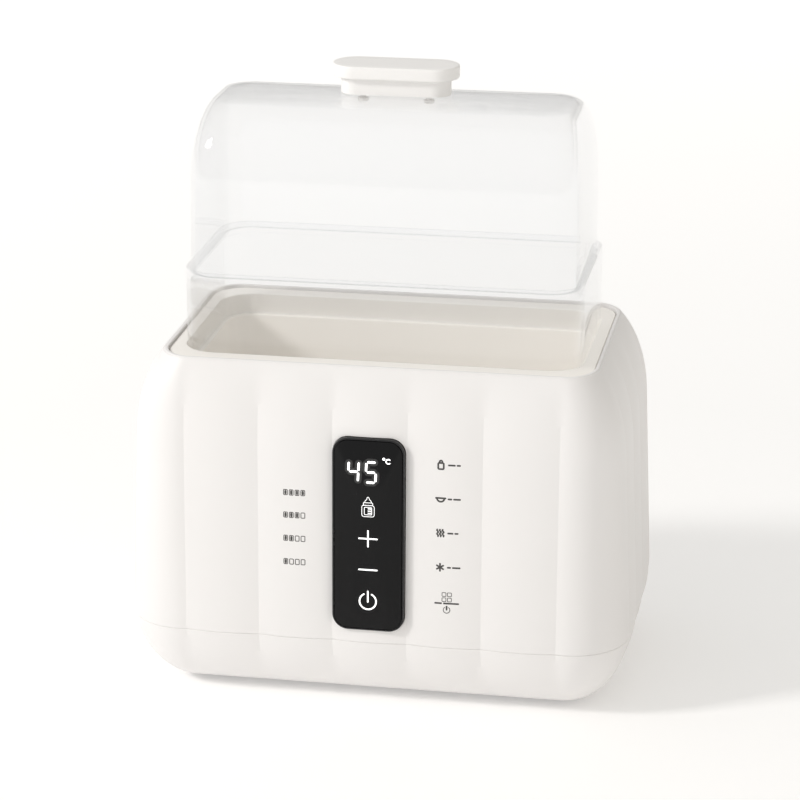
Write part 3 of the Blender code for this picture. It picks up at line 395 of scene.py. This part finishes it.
rubber = Look("foot_rubber", (0.55, 0.53, 0.49), 0.75).vary_roughness(300, 0.08).grain(1800, 0.00003)
for k, (sx, sy) in enumerate(((-1, -1), (-1, 1), (1, -1), (1, 1))):
    path = eased_corners([(0.0, 0.0005), (0.0055, 0.0005), (0.0055, 0.0), (FOOT_R, 0.0),
                          (FOOT_R, FOOT_GAP + FOOT_SINK - CLEAR)], 0.0006, 5)
    path = [(max(r, 0.0001), z) for r, z in path]
    foot = turned(f"rubber_foot_{k + 1}", path, 48, (sx * FOOT_X, sy * FOOT_Y))
    wear(foot, rubber, "base", f"foot_{k + 1}", slot="foot_rubber")

# ---- tank liner --------------------------------------------------------------------------
# One warm white moulding. Its deck fills the lip, a seat carries the collar, and the tank goes down
# to a floor with a round hole for the plate.

MOUTH_HX, MOUTH_HY, MOUTH_R = 0.1032, 0.0522, 0.0175
SEAT_DROP, SEAT_W, LINER_T, TANK_TAPER = 0.0107, 0.0036, 0.0022, 0.0022
TANK_FLOOR_Z, TANK_CORNER, PLATE_R = 0.057, 0.006, 0.031
SEAT_Z = DECK_Z - SEAT_DROP
rim_inset = wall_inset(RIM_Z) + LIP_T + DECK_GAP
rim_x, rim_y, rim_r = HALF_W - rim_inset - SHOULDER_SIDE_EXTRA, HALF_D - rim_inset, CORNER_R - rim_inset
in_x, in_y, in_r = MOUTH_HX - SEAT_W, MOUTH_HY - SEAT_W, MOUTH_R - SEAT_W
low_x, low_y, bend, t = in_x - TANK_TAPER, in_y - TANK_TAPER, TANK_CORNER, LINER_T
under_z = TANK_FLOOR_Z - t
walk = [(rim_x, rim_y, rim_r, DECK_Z - DECK_T), (rim_x, rim_y, rim_r, DECK_Z),
        (MOUTH_HX, MOUTH_HY, MOUTH_R, DECK_Z), (MOUTH_HX, MOUTH_HY, MOUTH_R, SEAT_Z),
        (in_x, in_y, in_r, SEAT_Z), (low_x, low_y, in_r, TANK_FLOOR_Z + bend)]
inside = eased_corners(walk, 0.0007, 4)
for turn in np.radians((22, 45, 68, 90)):
    pull = bend * (1 - math.cos(turn))
    inside.append((low_x - pull, low_y - pull, in_r - pull * 0.7, TANK_FLOOR_Z + bend * (1 - math.sin(turn))))
outside = [(low_x - bend, low_y - bend, in_r - bend * 0.7, under_z),
           (low_x + t - bend * 0.3, low_y + t - bend * 0.3, in_r, TANK_FLOOR_Z + bend * 0.3 - t * 0.7),
           (low_x + t, low_y + t, in_r + t, TANK_FLOOR_Z + bend), (in_x + t, in_y + t, in_r + t, SEAT_Z - t),
           (MOUTH_HX + t, MOUTH_HY + t, MOUTH_R + t, SEAT_Z - t),
           (MOUTH_HX + t, MOUTH_HY + t, MOUTH_R + t, DECK_Z - DECK_T)]


def plate_hole(radius, z, steps=14):
    """Circle with the same points as a rounded outline."""
    turn = np.concatenate([start + 90 * (np.arange(steps + 1) + 0.5) / (steps + 1)
                           for start in (-90, 0, 90, 180)])
    turn = np.radians(turn)
    return np.column_stack([radius * np.cos(turn), radius * np.sin(turn), np.full(len(turn), z)])


loops = [at_height(rounded(hx, hy, r), z) for hx, hy, r, z in inside]
loops += [plate_hole(PLATE_R + 0.0015, TANK_FLOOR_Z), plate_hole(PLATE_R + 0.0015, under_z)]
loops += [at_height(rounded(hx, hy, r), z) for hx, hy, r, z in outside]
# The liner's faint emission is a painted glow that stands in for light filling the tank.
liner_look_painted_glow = Look("liner_plastic", (0.91, 0.88, 0.835), 0.36,
                  Emission_Color=(1, 0.97, 0.92, 1), Emission_Strength=0.05)
liner_look_painted_glow.vary_colour(11, (0.90, 0.868, 0.82), 2).vary_roughness(80, 0.04).grain(2200, 0.00001)
liner = skin("tank_and_deck", loops, ring=True)
wear(liner, liner_look_painted_glow, "base", "tank_liner", slot="liner_plastic")

# ---- heating plate -----------------------------------------------------------------------
# A coated aluminium dish in the tank's floor, with a flange under the floor for its seal. Its
# middle lies lower than its edge, and its matt coating is lightly speckled.

plate_look = Look("coated_aluminium", (0.36, 0.355, 0.35), 0.34, 0.7)
plate_look.vary_colour(500, (0.31, 0.305, 0.3), 5).vary_roughness(900, 0.07).grain(3500, 0.00002)
FLANGE_R, FLANGE_TOP_Z, FLANGE_LOW_Z = 0.0375, 0.0519, 0.0494
path = [(0.0001, 0.0536), (0.010, 0.0556), (0.0175, 0.0558), (PLATE_R - 0.0012, TANK_FLOOR_Z),
        (PLATE_R, TANK_FLOOR_Z), (PLATE_R, FLANGE_TOP_Z), (FLANGE_R, FLANGE_TOP_Z),
        (FLANGE_R, FLANGE_LOW_Z), (0.0001, FLANGE_LOW_Z)]
plate = turned("heating_dish", eased_corners(path, 0.0008, 4), 72)
wear(plate, plate_look, "base", "heating_plate", slot="coated_aluminium")

# ---- bottle basket -----------------------------------------------------------------------
# A lift-out tray of the liner's plastic: thin walls, a slotted floor and four short legs on the
# tank's floor.

BASKET_SIDE_GAP, BASKET_WALL, BASKET_FLOOR = 0.0025, 0.002, 0.0025
BASKET_H, BASKET_FOOT_H, BASKET_SLOTS = 0.056, 0.006, 7
bx, by, br = low_x - BASKET_SIDE_GAP, low_y - BASKET_SIDE_GAP, MOUTH_R - SEAT_W - BASKET_SIDE_GAP
bz = TANK_FLOOR_Z + BASKET_FOOT_H + CLEAR
w = BASKET_WALL
profile = [(0.007, bz), (0.003, bz + 0.001), (0.0, bz + 0.008), (0.0, bz + BASKET_H), (w, bz + BASKET_H),
           (w, bz + 0.009), (w + 0.003, bz + BASKET_FLOOR + 0.001), (w + 0.005, bz + BASKET_FLOOR)]
profile = eased_corners(profile, 0.0012, 4)
loops = [at_height(rounded(bx - i, by - i, max(br - i, 0.004)), z) for i, z in profile]
basket = skin("slotted_basket", loops)
pitch = 2 * (bx - 0.016) / BASKET_SLOTS
for k in range(BASKET_SLOTS):
    slot_loops = []
    for z in (bz - 0.02, bz + 0.02):
        slot_plan = rounded(0.003, by - 0.014, 0.0028, 8)
        slot_loops.append(at_height(slot_plan + ((k - 3) * pitch, 0), z))
    combine(basket, skin("slot", slot_loops), "DIFFERENCE")
for sx in (-1, 1):
    for sy in (-1, 1):
        leg = turned("leg", [(0.004, TANK_FLOOR_Z + CLEAR), (0.0045, bz + 0.00125)], 24,
                     (sx * (bx - 0.020), sy * (by - 0.0095)))
        combine(basket, leg, "UNION")
# The basket shares the liner's painted glow.
wear(basket, liner_look_painted_glow, "basket", "bottle_basket", slot="liner_plastic")

# ---- clear collar ------------------------------------------------------------------------
# A clear moulding 2 mm thick that stands in the liner's seat, with a ledge inside for the lid:
# tinted transparency, and a mirror gloss that grows towards grazing angles.

GLOSS_FACING, GLOSS_GRAZING, GLOSS_POWER = 0.03, 0.80, 4.0
CLEAR_TINT, GRAZING_TINT = (0.982, 0.984, 0.987), (0.95, 0.95, 0.95)


def clear_look(name, roughness):
    """Clear plastic: gloss share = facing + grazing * (1 - cos)^4, the rest passes straight
    through, tinted more towards grazing angles."""
    look = Look(name, (0.97, 0.97, 0.97), roughness, 1.0)
    look.vary_roughness(30, roughness * 0.5)
    look.grain(25, 0.00002, 1.0)
    nodes, links = look.tree.nodes, look.tree.links
    through = nodes.new("ShaderNodeBsdfTransparent")
    shade = nodes.new("ShaderNodeMix")
    shade.data_type = "RGBA"
    shade.inputs[6].default_value = (*CLEAR_TINT, 1)
    shade.inputs[7].default_value = (*GRAZING_TINT, 1)
    links.new(shade.outputs[2], through.inputs["Color"])
    slant = nodes.new("ShaderNodeLayerWeight")
    slant.inputs["Blend"].default_value = 0.5
    power = nodes.new("ShaderNodeMath")
    power.operation = "POWER"
    power.inputs[1].default_value = GLOSS_POWER
    links.new(slant.outputs["Facing"], power.inputs[0])
    links.new(power.outputs[0], shade.inputs[0])
    share = nodes.new("ShaderNodeMath")
    share.operation = "MULTIPLY_ADD"
    share.inputs[1].default_value = GLOSS_GRAZING
    share.inputs[2].default_value = GLOSS_FACING
    links.new(power.outputs[0], share.inputs[0])
    mix = nodes.new("ShaderNodeMixShader")
    links.new(share.outputs[0], mix.inputs[0])
    links.new(through.outputs["BSDF"], mix.inputs[1])
    links.new(look.shader.outputs["BSDF"], mix.inputs[2])
    links.new(mix.outputs["Shader"], nodes["Material Output"].inputs["Surface"])
    return look


COLLAR_HX, COLLAR_HY, COLLAR_R, COLLAR_T, COLLAR_TOP_Z = 0.1028, 0.0518, 0.017, 0.002, 0.222
LID_SEAT_DROP, LID_SEAT_W, LID_SEAT_T = 0.0028, 0.0034, 0.0018
LID_SIDE_GAP, LID_T, LID_DRAFT = 0.0007, 0.002, 0.012
seat = COLLAR_TOP_Z - LID_SEAT_DROP
wide = COLLAR_T + LID_SEAT_W
profile = [(0.0, SEAT_Z + CLEAR), (0.0, COLLAR_TOP_Z), (COLLAR_T, COLLAR_TOP_Z), (COLLAR_T, seat),
           (wide, seat), (wide, seat - LID_SEAT_T), (COLLAR_T, seat - LID_SEAT_T - LID_SEAT_W * 0.6),
           (COLLAR_T, SEAT_Z + CLEAR)]
profile = eased_corners(profile, 0.0007, 4, closed=True)
loops = [at_height(rounded(COLLAR_HX - i, COLLAR_HY - i, COLLAR_R - i, 18), z) for i, z in profile]
collar = skin("clear_collar", loops, ring=True)
wear(collar, clear_look("clear_plastic", 0.03), "collar", "collar", slot="clear_plastic")

# ---- clear lid ---------------------------------------------------------------------------
# A clear domed moulding that drops inside the collar's top edge, with two bores for the handle's
# pins.

LID_SHOULDER_Z, LID_TOP_Z, LID_POWER, LID_CROWN = 0.2635, 0.306, 2.15, 0.0015
LID_END_IN, LID_FRONT_IN = 0.010, 0.032


def lid_loop(z, inward=0.0):
    """Lid outline: draft plus a superellipse shoulder, which comes in further at the front and back
    than at the ends, moved inward."""
    gap = COLLAR_T + LID_SIDE_GAP + inward
    off = gap + LID_DRAFT * (z - COLLAR_TOP_Z)
    curve = quarter_in((z - LID_SHOULDER_Z) / (LID_TOP_Z - LID_SHOULDER_Z), LID_POWER)
    hx, hy = COLLAR_HX - off - LID_END_IN * curve, COLLAR_HY - off - LID_FRONT_IN * curve
    return at_height(rounded(hx, hy, min(COLLAR_R - gap, hy * 0.98), 18), z)


def crown(edge, z):
    """Loops from the lid's top edge to its middle, rising as 1 - share^2."""
    loops = []
    for share in np.linspace(0.9, 0.05, 12):
        loop = edge.copy()
        loop[:, :2] *= share
        loop[:, 2] = z + LID_CROWN * (1 - share ** 2)
        loops.append(loop)
    return loops


low = COLLAR_TOP_Z - LID_SEAT_DROP + CLEAR
rise = list(eased(LID_SHOULDER_Z, LID_TOP_Z, 22, True))
outer = [lid_loop(low, 0.0003), lid_loop(low + 0.0004), lid_loop(LID_SHOULDER_Z - 0.02)]
outer += [lid_loop(z) for z in rise]
outer += crown(outer[-1], LID_TOP_Z)
inner = [lid_loop(low, LID_T - 0.0003), lid_loop(low + 0.0004, LID_T)]
inner += [lid_loop(z - LID_T, LID_T) for z in [LID_SHOULDER_Z - 0.02] + rise]
inner += crown(inner[-1], LID_TOP_Z - LID_T)
lid = skin("clear_lid", outer[::-1] + inner)
HANDLE_PIN_X = 0.017
for side in (-1, 1):
    bore = [(SCREW_R + CLEAR, LID_TOP_Z - 0.01), (SCREW_R + CLEAR, LID_TOP_Z + 0.02)]
    combine(lid, turned("lid_bore", bore, 24, (side * HANDLE_PIN_X, 0)), "DIFFERENCE")
wear(lid, clear_look("clear_lid_plastic", 0.04), "lid", "lid_shell", slot="clear_plastic")

# ---- lid handle --------------------------------------------------------------------------
# A cream grip with a neck under its flat top, pinned through the top of the lid. Its edges are
# rounded where fingers go under them.

HANDLE_HX, HANDLE_HY, HANDLE_TOP_Z, HANDLE_PLATE_T = 0.0326, 0.0130, 0.323, 0.0067
NECK_HX, NECK_HY = 0.0284, 0.0095
neck_low = LID_TOP_Z + LID_CROWN + CLEAR
plate_low = HANDLE_TOP_Z - HANDLE_PLATE_T
walk = [(NECK_HX, NECK_HY, neck_low), (NECK_HX, NECK_HY, plate_low), (HANDLE_HX, HANDLE_HY, plate_low),
        (HANDLE_HX, HANDLE_HY, HANDLE_TOP_Z), (HANDLE_HX - 0.006, HANDLE_HY - 0.006, HANDLE_TOP_Z)]
loops = [at_height(rounded(hx, hy, hy * 0.985, 18), z) for hx, hy, z in eased_corners(walk, 0.0013, 6)]
handle = skin("lid_grip", loops)
# The grip wears the lighter cream copy, whose extra lightness is painted light.
wear(handle, cream_smooth_painted_light, "lid", "lid_handle", slot="cream_plastic")

# ---- control panel -----------------------------------------------------------------------
# A gloss black frame round one sheet of dark glass, with lit digits over their halos and white
# key marks.

frame_look = Look("black_plastic", (0.012, 0.012, 0.013), 0.25, Specular_IOR_Level=0.35)
frame_look.vary_roughness(200, 0.04).grain(1500, 0.000006)
front, inner_edge = -PANEL_PROUD, 2 * WINDOW_EDGE
rim_path = [(0, PANEL_SINK), (0, front + 0.0005), (0.00015, front + 0.00015), (0.0005, front),
            (FRAME_EDGE - 0.0001, front), (FRAME_EDGE, front + 0.0001), (FRAME_EDGE, front + GLASS_T),
            (inner_edge, front + GLASS_T), (inner_edge, PANEL_SINK)]
loops = []
for inset, depth in rim_path:
    plan = rounded(PANEL_W / 2 - inset, PANEL_H / 2 - inset, max(PANEL_CORNER - inset, 0.002))
    loops.append(on_panel(np.column_stack([plan[:, 0], np.full(len(plan), depth), plan[:, 1]])))
bezel = skin("panel_bezel", loops, ring=True)
wear(bezel, frame_look, "base", "panel_frame", slot="black_plastic")

glass_look = Look("black_glass", (0.0075, 0.0075, 0.008), 0.16, Specular_IOR_Level=0.15)
glass_look.vary_roughness(40, 0.03).grain(8, 0.00002, 1.0)
face = -PANEL_PROUD - CLEAR / 3
glass = panel_plate("touch_glass", PANEL_W - 2 * FRAME_EDGE - 2 * CLEAR, PANEL_H - 2 * FRAME_EDGE - 2 * CLEAR,
                    PANEL_CORNER - FRAME_EDGE - CLEAR,
                    [(0, front + GLASS_T - CLEAR), (0, face + 0.0003), (0.0001, face + 0.0001),
                     (0.0003, face)])
wear(glass, glass_look, "base", "touch_panel", slot="black_glass")


def stroke(path, width, closed=False):
    """Flat strip along a polyline in (x, up), square to it at each point, with round ends.
    Returns stations of (left, right) pairs."""
    path = np.array(path, float)
    if closed:
        ahead = np.roll(path, -1, 0) - np.roll(path, 1, 0)
        halves = np.full(len(path), width / 2)
    else:
        first, last = path[0] - path[1], path[-1] - path[-2]
        first, last = first / np.linalg.norm(first), last / np.linalg.norm(last)
        turns = np.radians((80, 55, 30))
        start = [path[0] + first * width / 2 * math.sin(a) for a in turns]
        end = [path[-1] + last * width / 2 * math.sin(a) for a in turns[::-1]]
        halves = np.concatenate([width / 2 * np.cos(turns), np.full(len(path), width / 2),
                                 width / 2 * np.cos(turns[::-1])])
        path = np.array([*start, *path, *end])
        ahead = np.gradient(path, axis=0)
    side = np.column_stack([-ahead[:, 1], ahead[:, 0]])
    side /= np.linalg.norm(side, axis=1)[:, None]
    return path + side * halves[:, None], path - side * halves[:, None]


def strips(name, strokes, place, front, back):
    """Thin closed strips from strokes; place turns (x, depth, up) into the part's coordinates."""
    points, faces = [], []
    for path, width, closed in strokes:
        left, right = stroke(path, width, closed)
        count, start = len(left), len(points)
        for station in range(count):
            for flat, depth in ((left, front), (right, front), (right, back), (left, back)):
                points.append((flat[station, 0], depth, flat[station, 1]))
        for k in range(count if closed else count - 1):
            a, b = start + 4 * k, start + 4 * ((k + 1) % count)
            faces += [(a + j, a + (j + 1) % 4, b + (j + 1) % 4, b + j) for j in range(4)]
        if not closed:
            last = start + 4 * (count - 1)
            faces += [tuple(first + j for j in range(4)) for first in (start, last)]
    return new_object(name, place(np.array(points)), faces, 30)


def arc(x, up, radius, start, end, steps=20):
    """Points on a circular arc, in degrees from +X towards up."""
    turn = np.radians(np.linspace(start, end, steps + 1))
    return np.column_stack([x + radius * np.cos(turn), up + radius * np.sin(turn)])


def rounded_line(x, up, hx, hz, radius):
    """Closed rounded rectangle line about a middle."""
    return rounded(hx, hz, radius, 5) + (x, up)


def digit(segments, x, up, width, height, lean):
    """Seven-segment digit: segments a to g, with short gaps and a lean to the right."""
    half, gap = height / 2, 0.0010
    ends = {"a": ((0, height), (width, height)), "b": ((width, height), (width, half)),
            "c": ((width, half), (width, 0)), "d": ((0, 0), (width, 0)), "e": ((0, half), (0, 0)),
            "f": ((0, height), (0, half)), "g": ((0, half), (width, half))}
    out = []
    for letter in segments:
        a, b = (np.array(p, float) for p in ends[letter])
        way = (b - a) / np.linalg.norm(b - a)
        line = np.array([a + way * gap, (a + b) / 2, b - way * gap])
        line[:, 0] += line[:, 1] * lean
        out.append((line + (x, up), 0.0011, False))
    return out


def lit(name, strength, colour=(1, 1, 1)):
    """White glow over a base colour."""
    look = Look(name, colour, 0.4)
    look.vary_roughness(300, 0.03)
    look.shader.inputs["Emission Color"].default_value = (1, 1, 1, 1)
    look.shader.inputs["Emission Strength"].default_value = strength
    return look


MID = PANEL_MID_Z
digits = digit("fgbc", -0.0104, 0.1255 - MID, 0.0051, 0.0107, 0.05)
digits += digit("afgcd", -0.0014, 0.1255 - MID, 0.0051, 0.0107, 0.05)
digits += [(arc(0.0080, 0.1383 - MID, 0.00050, 0, 360, 10)[:-1], 0.00045, True),
           (arc(0.0103, 0.1371 - MID, 0.00115, 50, 310, 12), 0.00055, False)]
for k, (spread, strength) in enumerate(((0.0028, 0.008), (0.0015, 0.03))):
    halo = [(path, width + spread, closed) for path, width, closed in digits[:9]]
    wear(strips(f"display_halo_{k + 1}", halo, on_panel, face - 0.00002 - k * 0.00001, face + 0.0001),
         lit(f"halo_light_{k + 1}", strength, (0.01, 0.01, 0.01)), "base", slot="black_glass")
wear(strips("display_digits", digits, on_panel, face - 0.00005, face + 0.0001),
     lit("display_light", 1.6), "base", slot="black_glass")

keys = [([(-0.0046, -0.0016), (0, -0.0016), (0.0046, -0.0016)], 0.0008, False),
        ([(0, -0.0058), (0, -0.0016), (0, 0.0026)], 0.0008, False),
        ([(-0.0046, -0.0183), (0, -0.0183), (0.0046, -0.0183)], 0.0008, False),
        (arc(0, -0.0353, 0.0043, 118, 422, 26), 0.0008, False),
        ([(0, -0.0356), (0, -0.0326), (0, -0.0299)], 0.0008, False)]
wear(strips("key_marks", keys, on_panel, face - 0.00004, face + 0.0001),
     lit("key_light", 0.75), "base", slot="black_glass")

ICON = 0.00032
icon = [(rounded_line(0, 0.0132, 0.0032, 0.0030, 0.0011), ICON, True),
        (rounded_line(0, 0.0132, 0.0019, 0.0020, 0.0005), ICON, True),
        (rounded_line(0, 0.0169, 0.0024, 0.0007, 0.0004), ICON, True),
        ([(-0.0018, 0.0176), (-0.0015, 0.0186), (-0.0007, 0.0193), (-0.0005, 0.0202)], ICON, False),
        ([(0.0018, 0.0176), (0.0015, 0.0186), (0.0007, 0.0193), (0.0005, 0.0202)], ICON, False),
        ([(-0.0005, 0.0202), (0, 0.0206), (0.0005, 0.0202)], ICON, False)]
icon += [([(0.0001, 0.0120 + 0.0012 * k), (0.0008, 0.0120 + 0.0012 * k), (0.0016, 0.0120 + 0.0012 * k)],
          0.0006, False) for k in range(3)]
wear(strips("bottle_mark", icon, on_panel, face - 0.00004, face + 0.0001),
     lit("mark_light", 0.5), "base", slot="black_glass")

# ---- printed marks on the flutes ---------------------------------------------------------
# Thin printed strips that follow the flutes' curve: level bars on the left, plain pictograms
# for the programmes on the right.


def on_wall(points):
    """(x, depth, z) to a point on the front wall, depth measured inwards from its surface."""
    points = np.atleast_2d(points)
    out = []
    for x, depth, z in points:
        u = (x + HALF_FRONT) / FRONT_FLUTE_W % 1.0
        crest = FLUTE_RISE * flute_depth(z) * 4 * u * (1 - u)
        out.append((x, -(HALF_D - wall_inset(z)) - crest + depth, z))
    return np.array(out)


ink = Look("print_ink", (0.055, 0.052, 0.05), 0.5).vary_roughness(900, 0.05).grain(2500, 0.000006)
PRINT = 0.0009
levels = []
CELL_W, CELL_H, CELL_PITCH = 0.0020, 0.0028, 0.0030
for count, z in ((4, 0.1171), (3, 0.1051), (2, 0.0926), (1, 0.0800)):
    for k in range(4):
        x = -0.0385 + (k - 1.5) * CELL_PITCH
        levels.append((rounded_line(x, z, CELL_W / 2, CELL_H / 2, 0.0004), 0.0004, True))
        if k < count:
            levels.append((np.array([(x, z - 0.0006), (x, z), (x, z + 0.0006)]), 0.0011, False))
wear(strips("level_marks", levels, on_wall, -0.00003, 0.0002), ink, "base")


def line(*points):
    """Open polyline with its middle points added, as a print stroke."""
    out = [points[0]]
    for a, b in zip(points, points[1:]):
        out += [tuple((np.array(a) + b) / 2), b]
    return (out, PRINT, False)


def bottle_mark(x, z):
    """Small bottle with a teat."""
    return [(rounded_line(x, z - 0.0006, 0.0014, 0.0016, 0.0005), PRINT, True),
            (arc(x, z + 0.0016, 0.0007, 0, 180, 6), PRINT, False)]


def bowl_mark(x, z):
    """Half-round bowl with a rim."""
    return [(arc(x, z + 0.0004, 0.0019, 180, 360, 12), PRINT, False),
            line((x - 0.0024, z + 0.0004), (x + 0.0024, z + 0.0004))]


def steam_mark(x, z):
    """Three rising waves."""
    out = []
    for k in (-1, 0, 1):
        up = np.linspace(-0.0018, 0.0018, 9)
        wave = x + k * 0.0014 + 0.0004 * np.sin(up * 3200)
        out.append((np.column_stack([wave, z + up]), PRINT, False))
    return out


def flake_mark(x, z):
    """Six-armed flake."""
    out = []
    for a in (30, 90, 150):
        c, s = 0.0019 * math.cos(math.radians(a)), 0.0019 * math.sin(math.radians(a))
        out.append(line((x - c, z - s), (x + c, z + s)))
    return out


def dashes(x, z, lengths):
    """Row of short dashes."""
    out = []
    for length in lengths:
        out.append(line((x, z), (x + length, z)))
        x += length + 0.0014
    return out


FUNCTION_X = 0.0404
marks = []
for shape, z, lengths in ((bottle_mark, 0.1366, (0.0030, 0.0012)), (bowl_mark, 0.1187, (0.0014, 0.0030)),
                          (steam_mark, 0.1006, (0.0022, 0.0012)), (flake_mark, 0.0823, (0.0012, 0.0034))):
    marks += shape(0.0368, z) + dashes(0.0408, z, lengths)
for sx in (-1, 1):
    for sz in (-1, 1):
        square = rounded_line(FUNCTION_X + sx * 0.0014, 0.0664 + sz * 0.0014, 0.0010, 0.0010, 0.0003)
        marks.append((square, 0.00035, True))
marks += [line((0.0345, 0.0630), (0.0463, 0.0630)),
          (arc(FUNCTION_X, 0.0595, 0.0017, 125, 415, 16), 0.0004, False),
          line((FUNCTION_X, 0.0597), (FUNCTION_X, 0.0614))]
wear(strips("programme_marks", marks, on_wall, -0.00003, 0.0002), ink, "base")

# ---- inner pieces ------------------------------------------------------------------------
# The CAD pieces under the deck stay as they are and take finishes of their own: steel, brass,
# silicone, circuit board, black parts and red leads. The handle's cream pins are among them.

steel = Look("steel", (0.62, 0.61, 0.60), 0.3, 1.0).vary_roughness(700, 0.08).grain(2500, 0.00001)
brass = Look("brass", (0.72, 0.55, 0.26), 0.3, 1.0).vary_roughness(700, 0.06).grain(2500, 0.00001)
silicone = Look("silicone", (0.72, 0.71, 0.68), 0.55).vary_roughness(300, 0.06).grain(2500, 0.00001)
board = Look("circuit_board", (0.03, 0.19, 0.08), 0.42)
board.vary_colour(260, (0.04, 0.24, 0.10), 1).grain(900, 0.00002)
part_black = Look("component_black", (0.03, 0.03, 0.033), 0.45).vary_roughness(500, 0.06).grain(2600, 0.00002)
lead = Look("lead_insulation", (0.62, 0.07, 0.05), 0.45).vary_roughness(400, 0.05).grain(1500, 0.00001)
by_slot = {"steel": steel, "brass": brass, "silicone": silicone, "circuit_board": board,
           "component_black": part_black, "lead_insulation": lead, "cream_plastic": cream_smooth_painted_light}
for entry in frame["record"]["subparts"]:
    look = by_slot.get(entry["material_slot"])
    node = frame["nodes"][entry["node"]]
    if look:
        node.data.materials.clear()
        node.data.materials.append(look.material)

# ---- floor, light and camera -------------------------------------------------------------
# A wide white floor that glows a little more farther out, a sky that is brightest overhead to the
# front left and warmer from the right, a soft key from the upper left in front, and a long lens a
# little to the right of the front.

floor_look = Look("floor", (0.93, 0.925, 0.92), 0.9).vary_roughness(3, 0.02)
tree = floor_look.tree
reach = tree.nodes.new("ShaderNodeVectorMath")
reach.operation = "LENGTH"
tree.links.new(floor_look.coordinates, reach.inputs[0])
glow = tree.nodes.new("ShaderNodeMapRange")
for key, value in (("From Min", 0.45), ("From Max", 2.2), ("To Min", 0.16), ("To Max", 0.38)):
    glow.inputs[key].default_value = value
tree.links.new(reach.outputs["Value"], glow.inputs["Value"])
floor_look.shader.inputs["Emission Color"].default_value = (1, 1, 1, 1)
tree.links.new(glow.outputs["Result"], floor_look.shader.inputs["Emission Strength"])
floor = new_object("floor", [(-6, -6, 0), (6, -6, 0), (6, 6, 0), (-6, 6, 0)], [(0, 1, 2, 3)])
floor.data.materials.append(floor_look.material)

BRIGHTEST_WAY, SKY_LOW, SKY_HIGH = (-0.5, -0.45, 0.74), 0.41, 0.80
SKY_COLOUR, RIGHT_COLOUR = (1.0, 0.995, 0.985, 1), (1.0, 0.95, 0.85, 1)
bpy.context.scene.cycles.transparent_max_bounces = 24
world = bpy.data.worlds.new("studio")
bpy.context.scene.world = world
world.use_nodes = True
tree = world.node_tree
sky = tree.nodes["Background"]
hue = tree.nodes.new("ShaderNodeMix")
hue.data_type = "RGBA"
hue.inputs[6].default_value = SKY_COLOUR
hue.inputs[7].default_value = RIGHT_COLOUR
way = tree.nodes.new("ShaderNodeTexCoord")
axes = tree.nodes.new("ShaderNodeSeparateXYZ")
tree.links.new(way.outputs["Generated"], axes.inputs[0])
rightward = tree.nodes.new("ShaderNodeMapRange")
rightward.inputs["From Min"].default_value = 0.0
tree.links.new(axes.outputs["X"], rightward.inputs["Value"])
tree.links.new(rightward.outputs["Result"], hue.inputs[0])
tree.links.new(hue.outputs[2], sky.inputs["Color"])
toward = tree.nodes.new("ShaderNodeVectorMath")
toward.operation = "DOT_PRODUCT"
toward.inputs[1].default_value = BRIGHTEST_WAY
tree.links.new(way.outputs["Generated"], toward.inputs[0])
dim = tree.nodes.new("ShaderNodeMapRange")
for key, value in (("From Min", -1), ("From Max", 1), ("To Min", SKY_LOW), ("To Max", SKY_HIGH)):
    dim.inputs[key].default_value = value
tree.links.new(toward.outputs["Value"], dim.inputs["Value"])
tree.links.new(dim.outputs["Result"], sky.inputs["Strength"])


def lamp(name, place, target, size, watts, colour=(1, 1, 1)):
    """Square area lamp aimed at a point."""
    data = bpy.data.lights.new(name, "AREA")
    data.size = size
    data.energy = watts
    data.color = colour
    made = bpy.data.objects.new(name, data)
    made.location = place
    made.rotation_euler = (Vector(target) - Vector(place)).to_track_quat("-Z", "Y").to_euler()
    bpy.context.scene.collection.objects.link(made)


lamp("key", (-2.5, -1.45, 1.93), (0, 0, 0.12), 0.5, 46, (1.0, 0.985, 0.96))

yaw, pitch, roll = math.radians(10.35), math.radians(18.89), math.radians(-0.09)
ahead = Vector((-math.sin(yaw) * math.cos(pitch), math.cos(yaw) * math.cos(pitch), -math.sin(pitch)))
right = Vector((math.cos(yaw), math.sin(yaw), 0))
up = right.cross(ahead)
right, up = right * math.cos(roll) + up * math.sin(roll), up * math.cos(roll) - right * math.sin(roll)
camera = bpy.data.objects.new("camera", bpy.data.cameras.new("camera"))
bpy.context.scene.collection.objects.link(camera)
camera.data.lens = 135
camera.data.sensor_width = 36
turn = Matrix((right, up, -ahead)).transposed().to_4x4()
camera.matrix_world = Matrix.Translation((0.270, -1.469, 0.6535)) @ turn
bpy.context.scene.camera = camera
bpy.context.scene.view_settings.view_transform = "Standard"
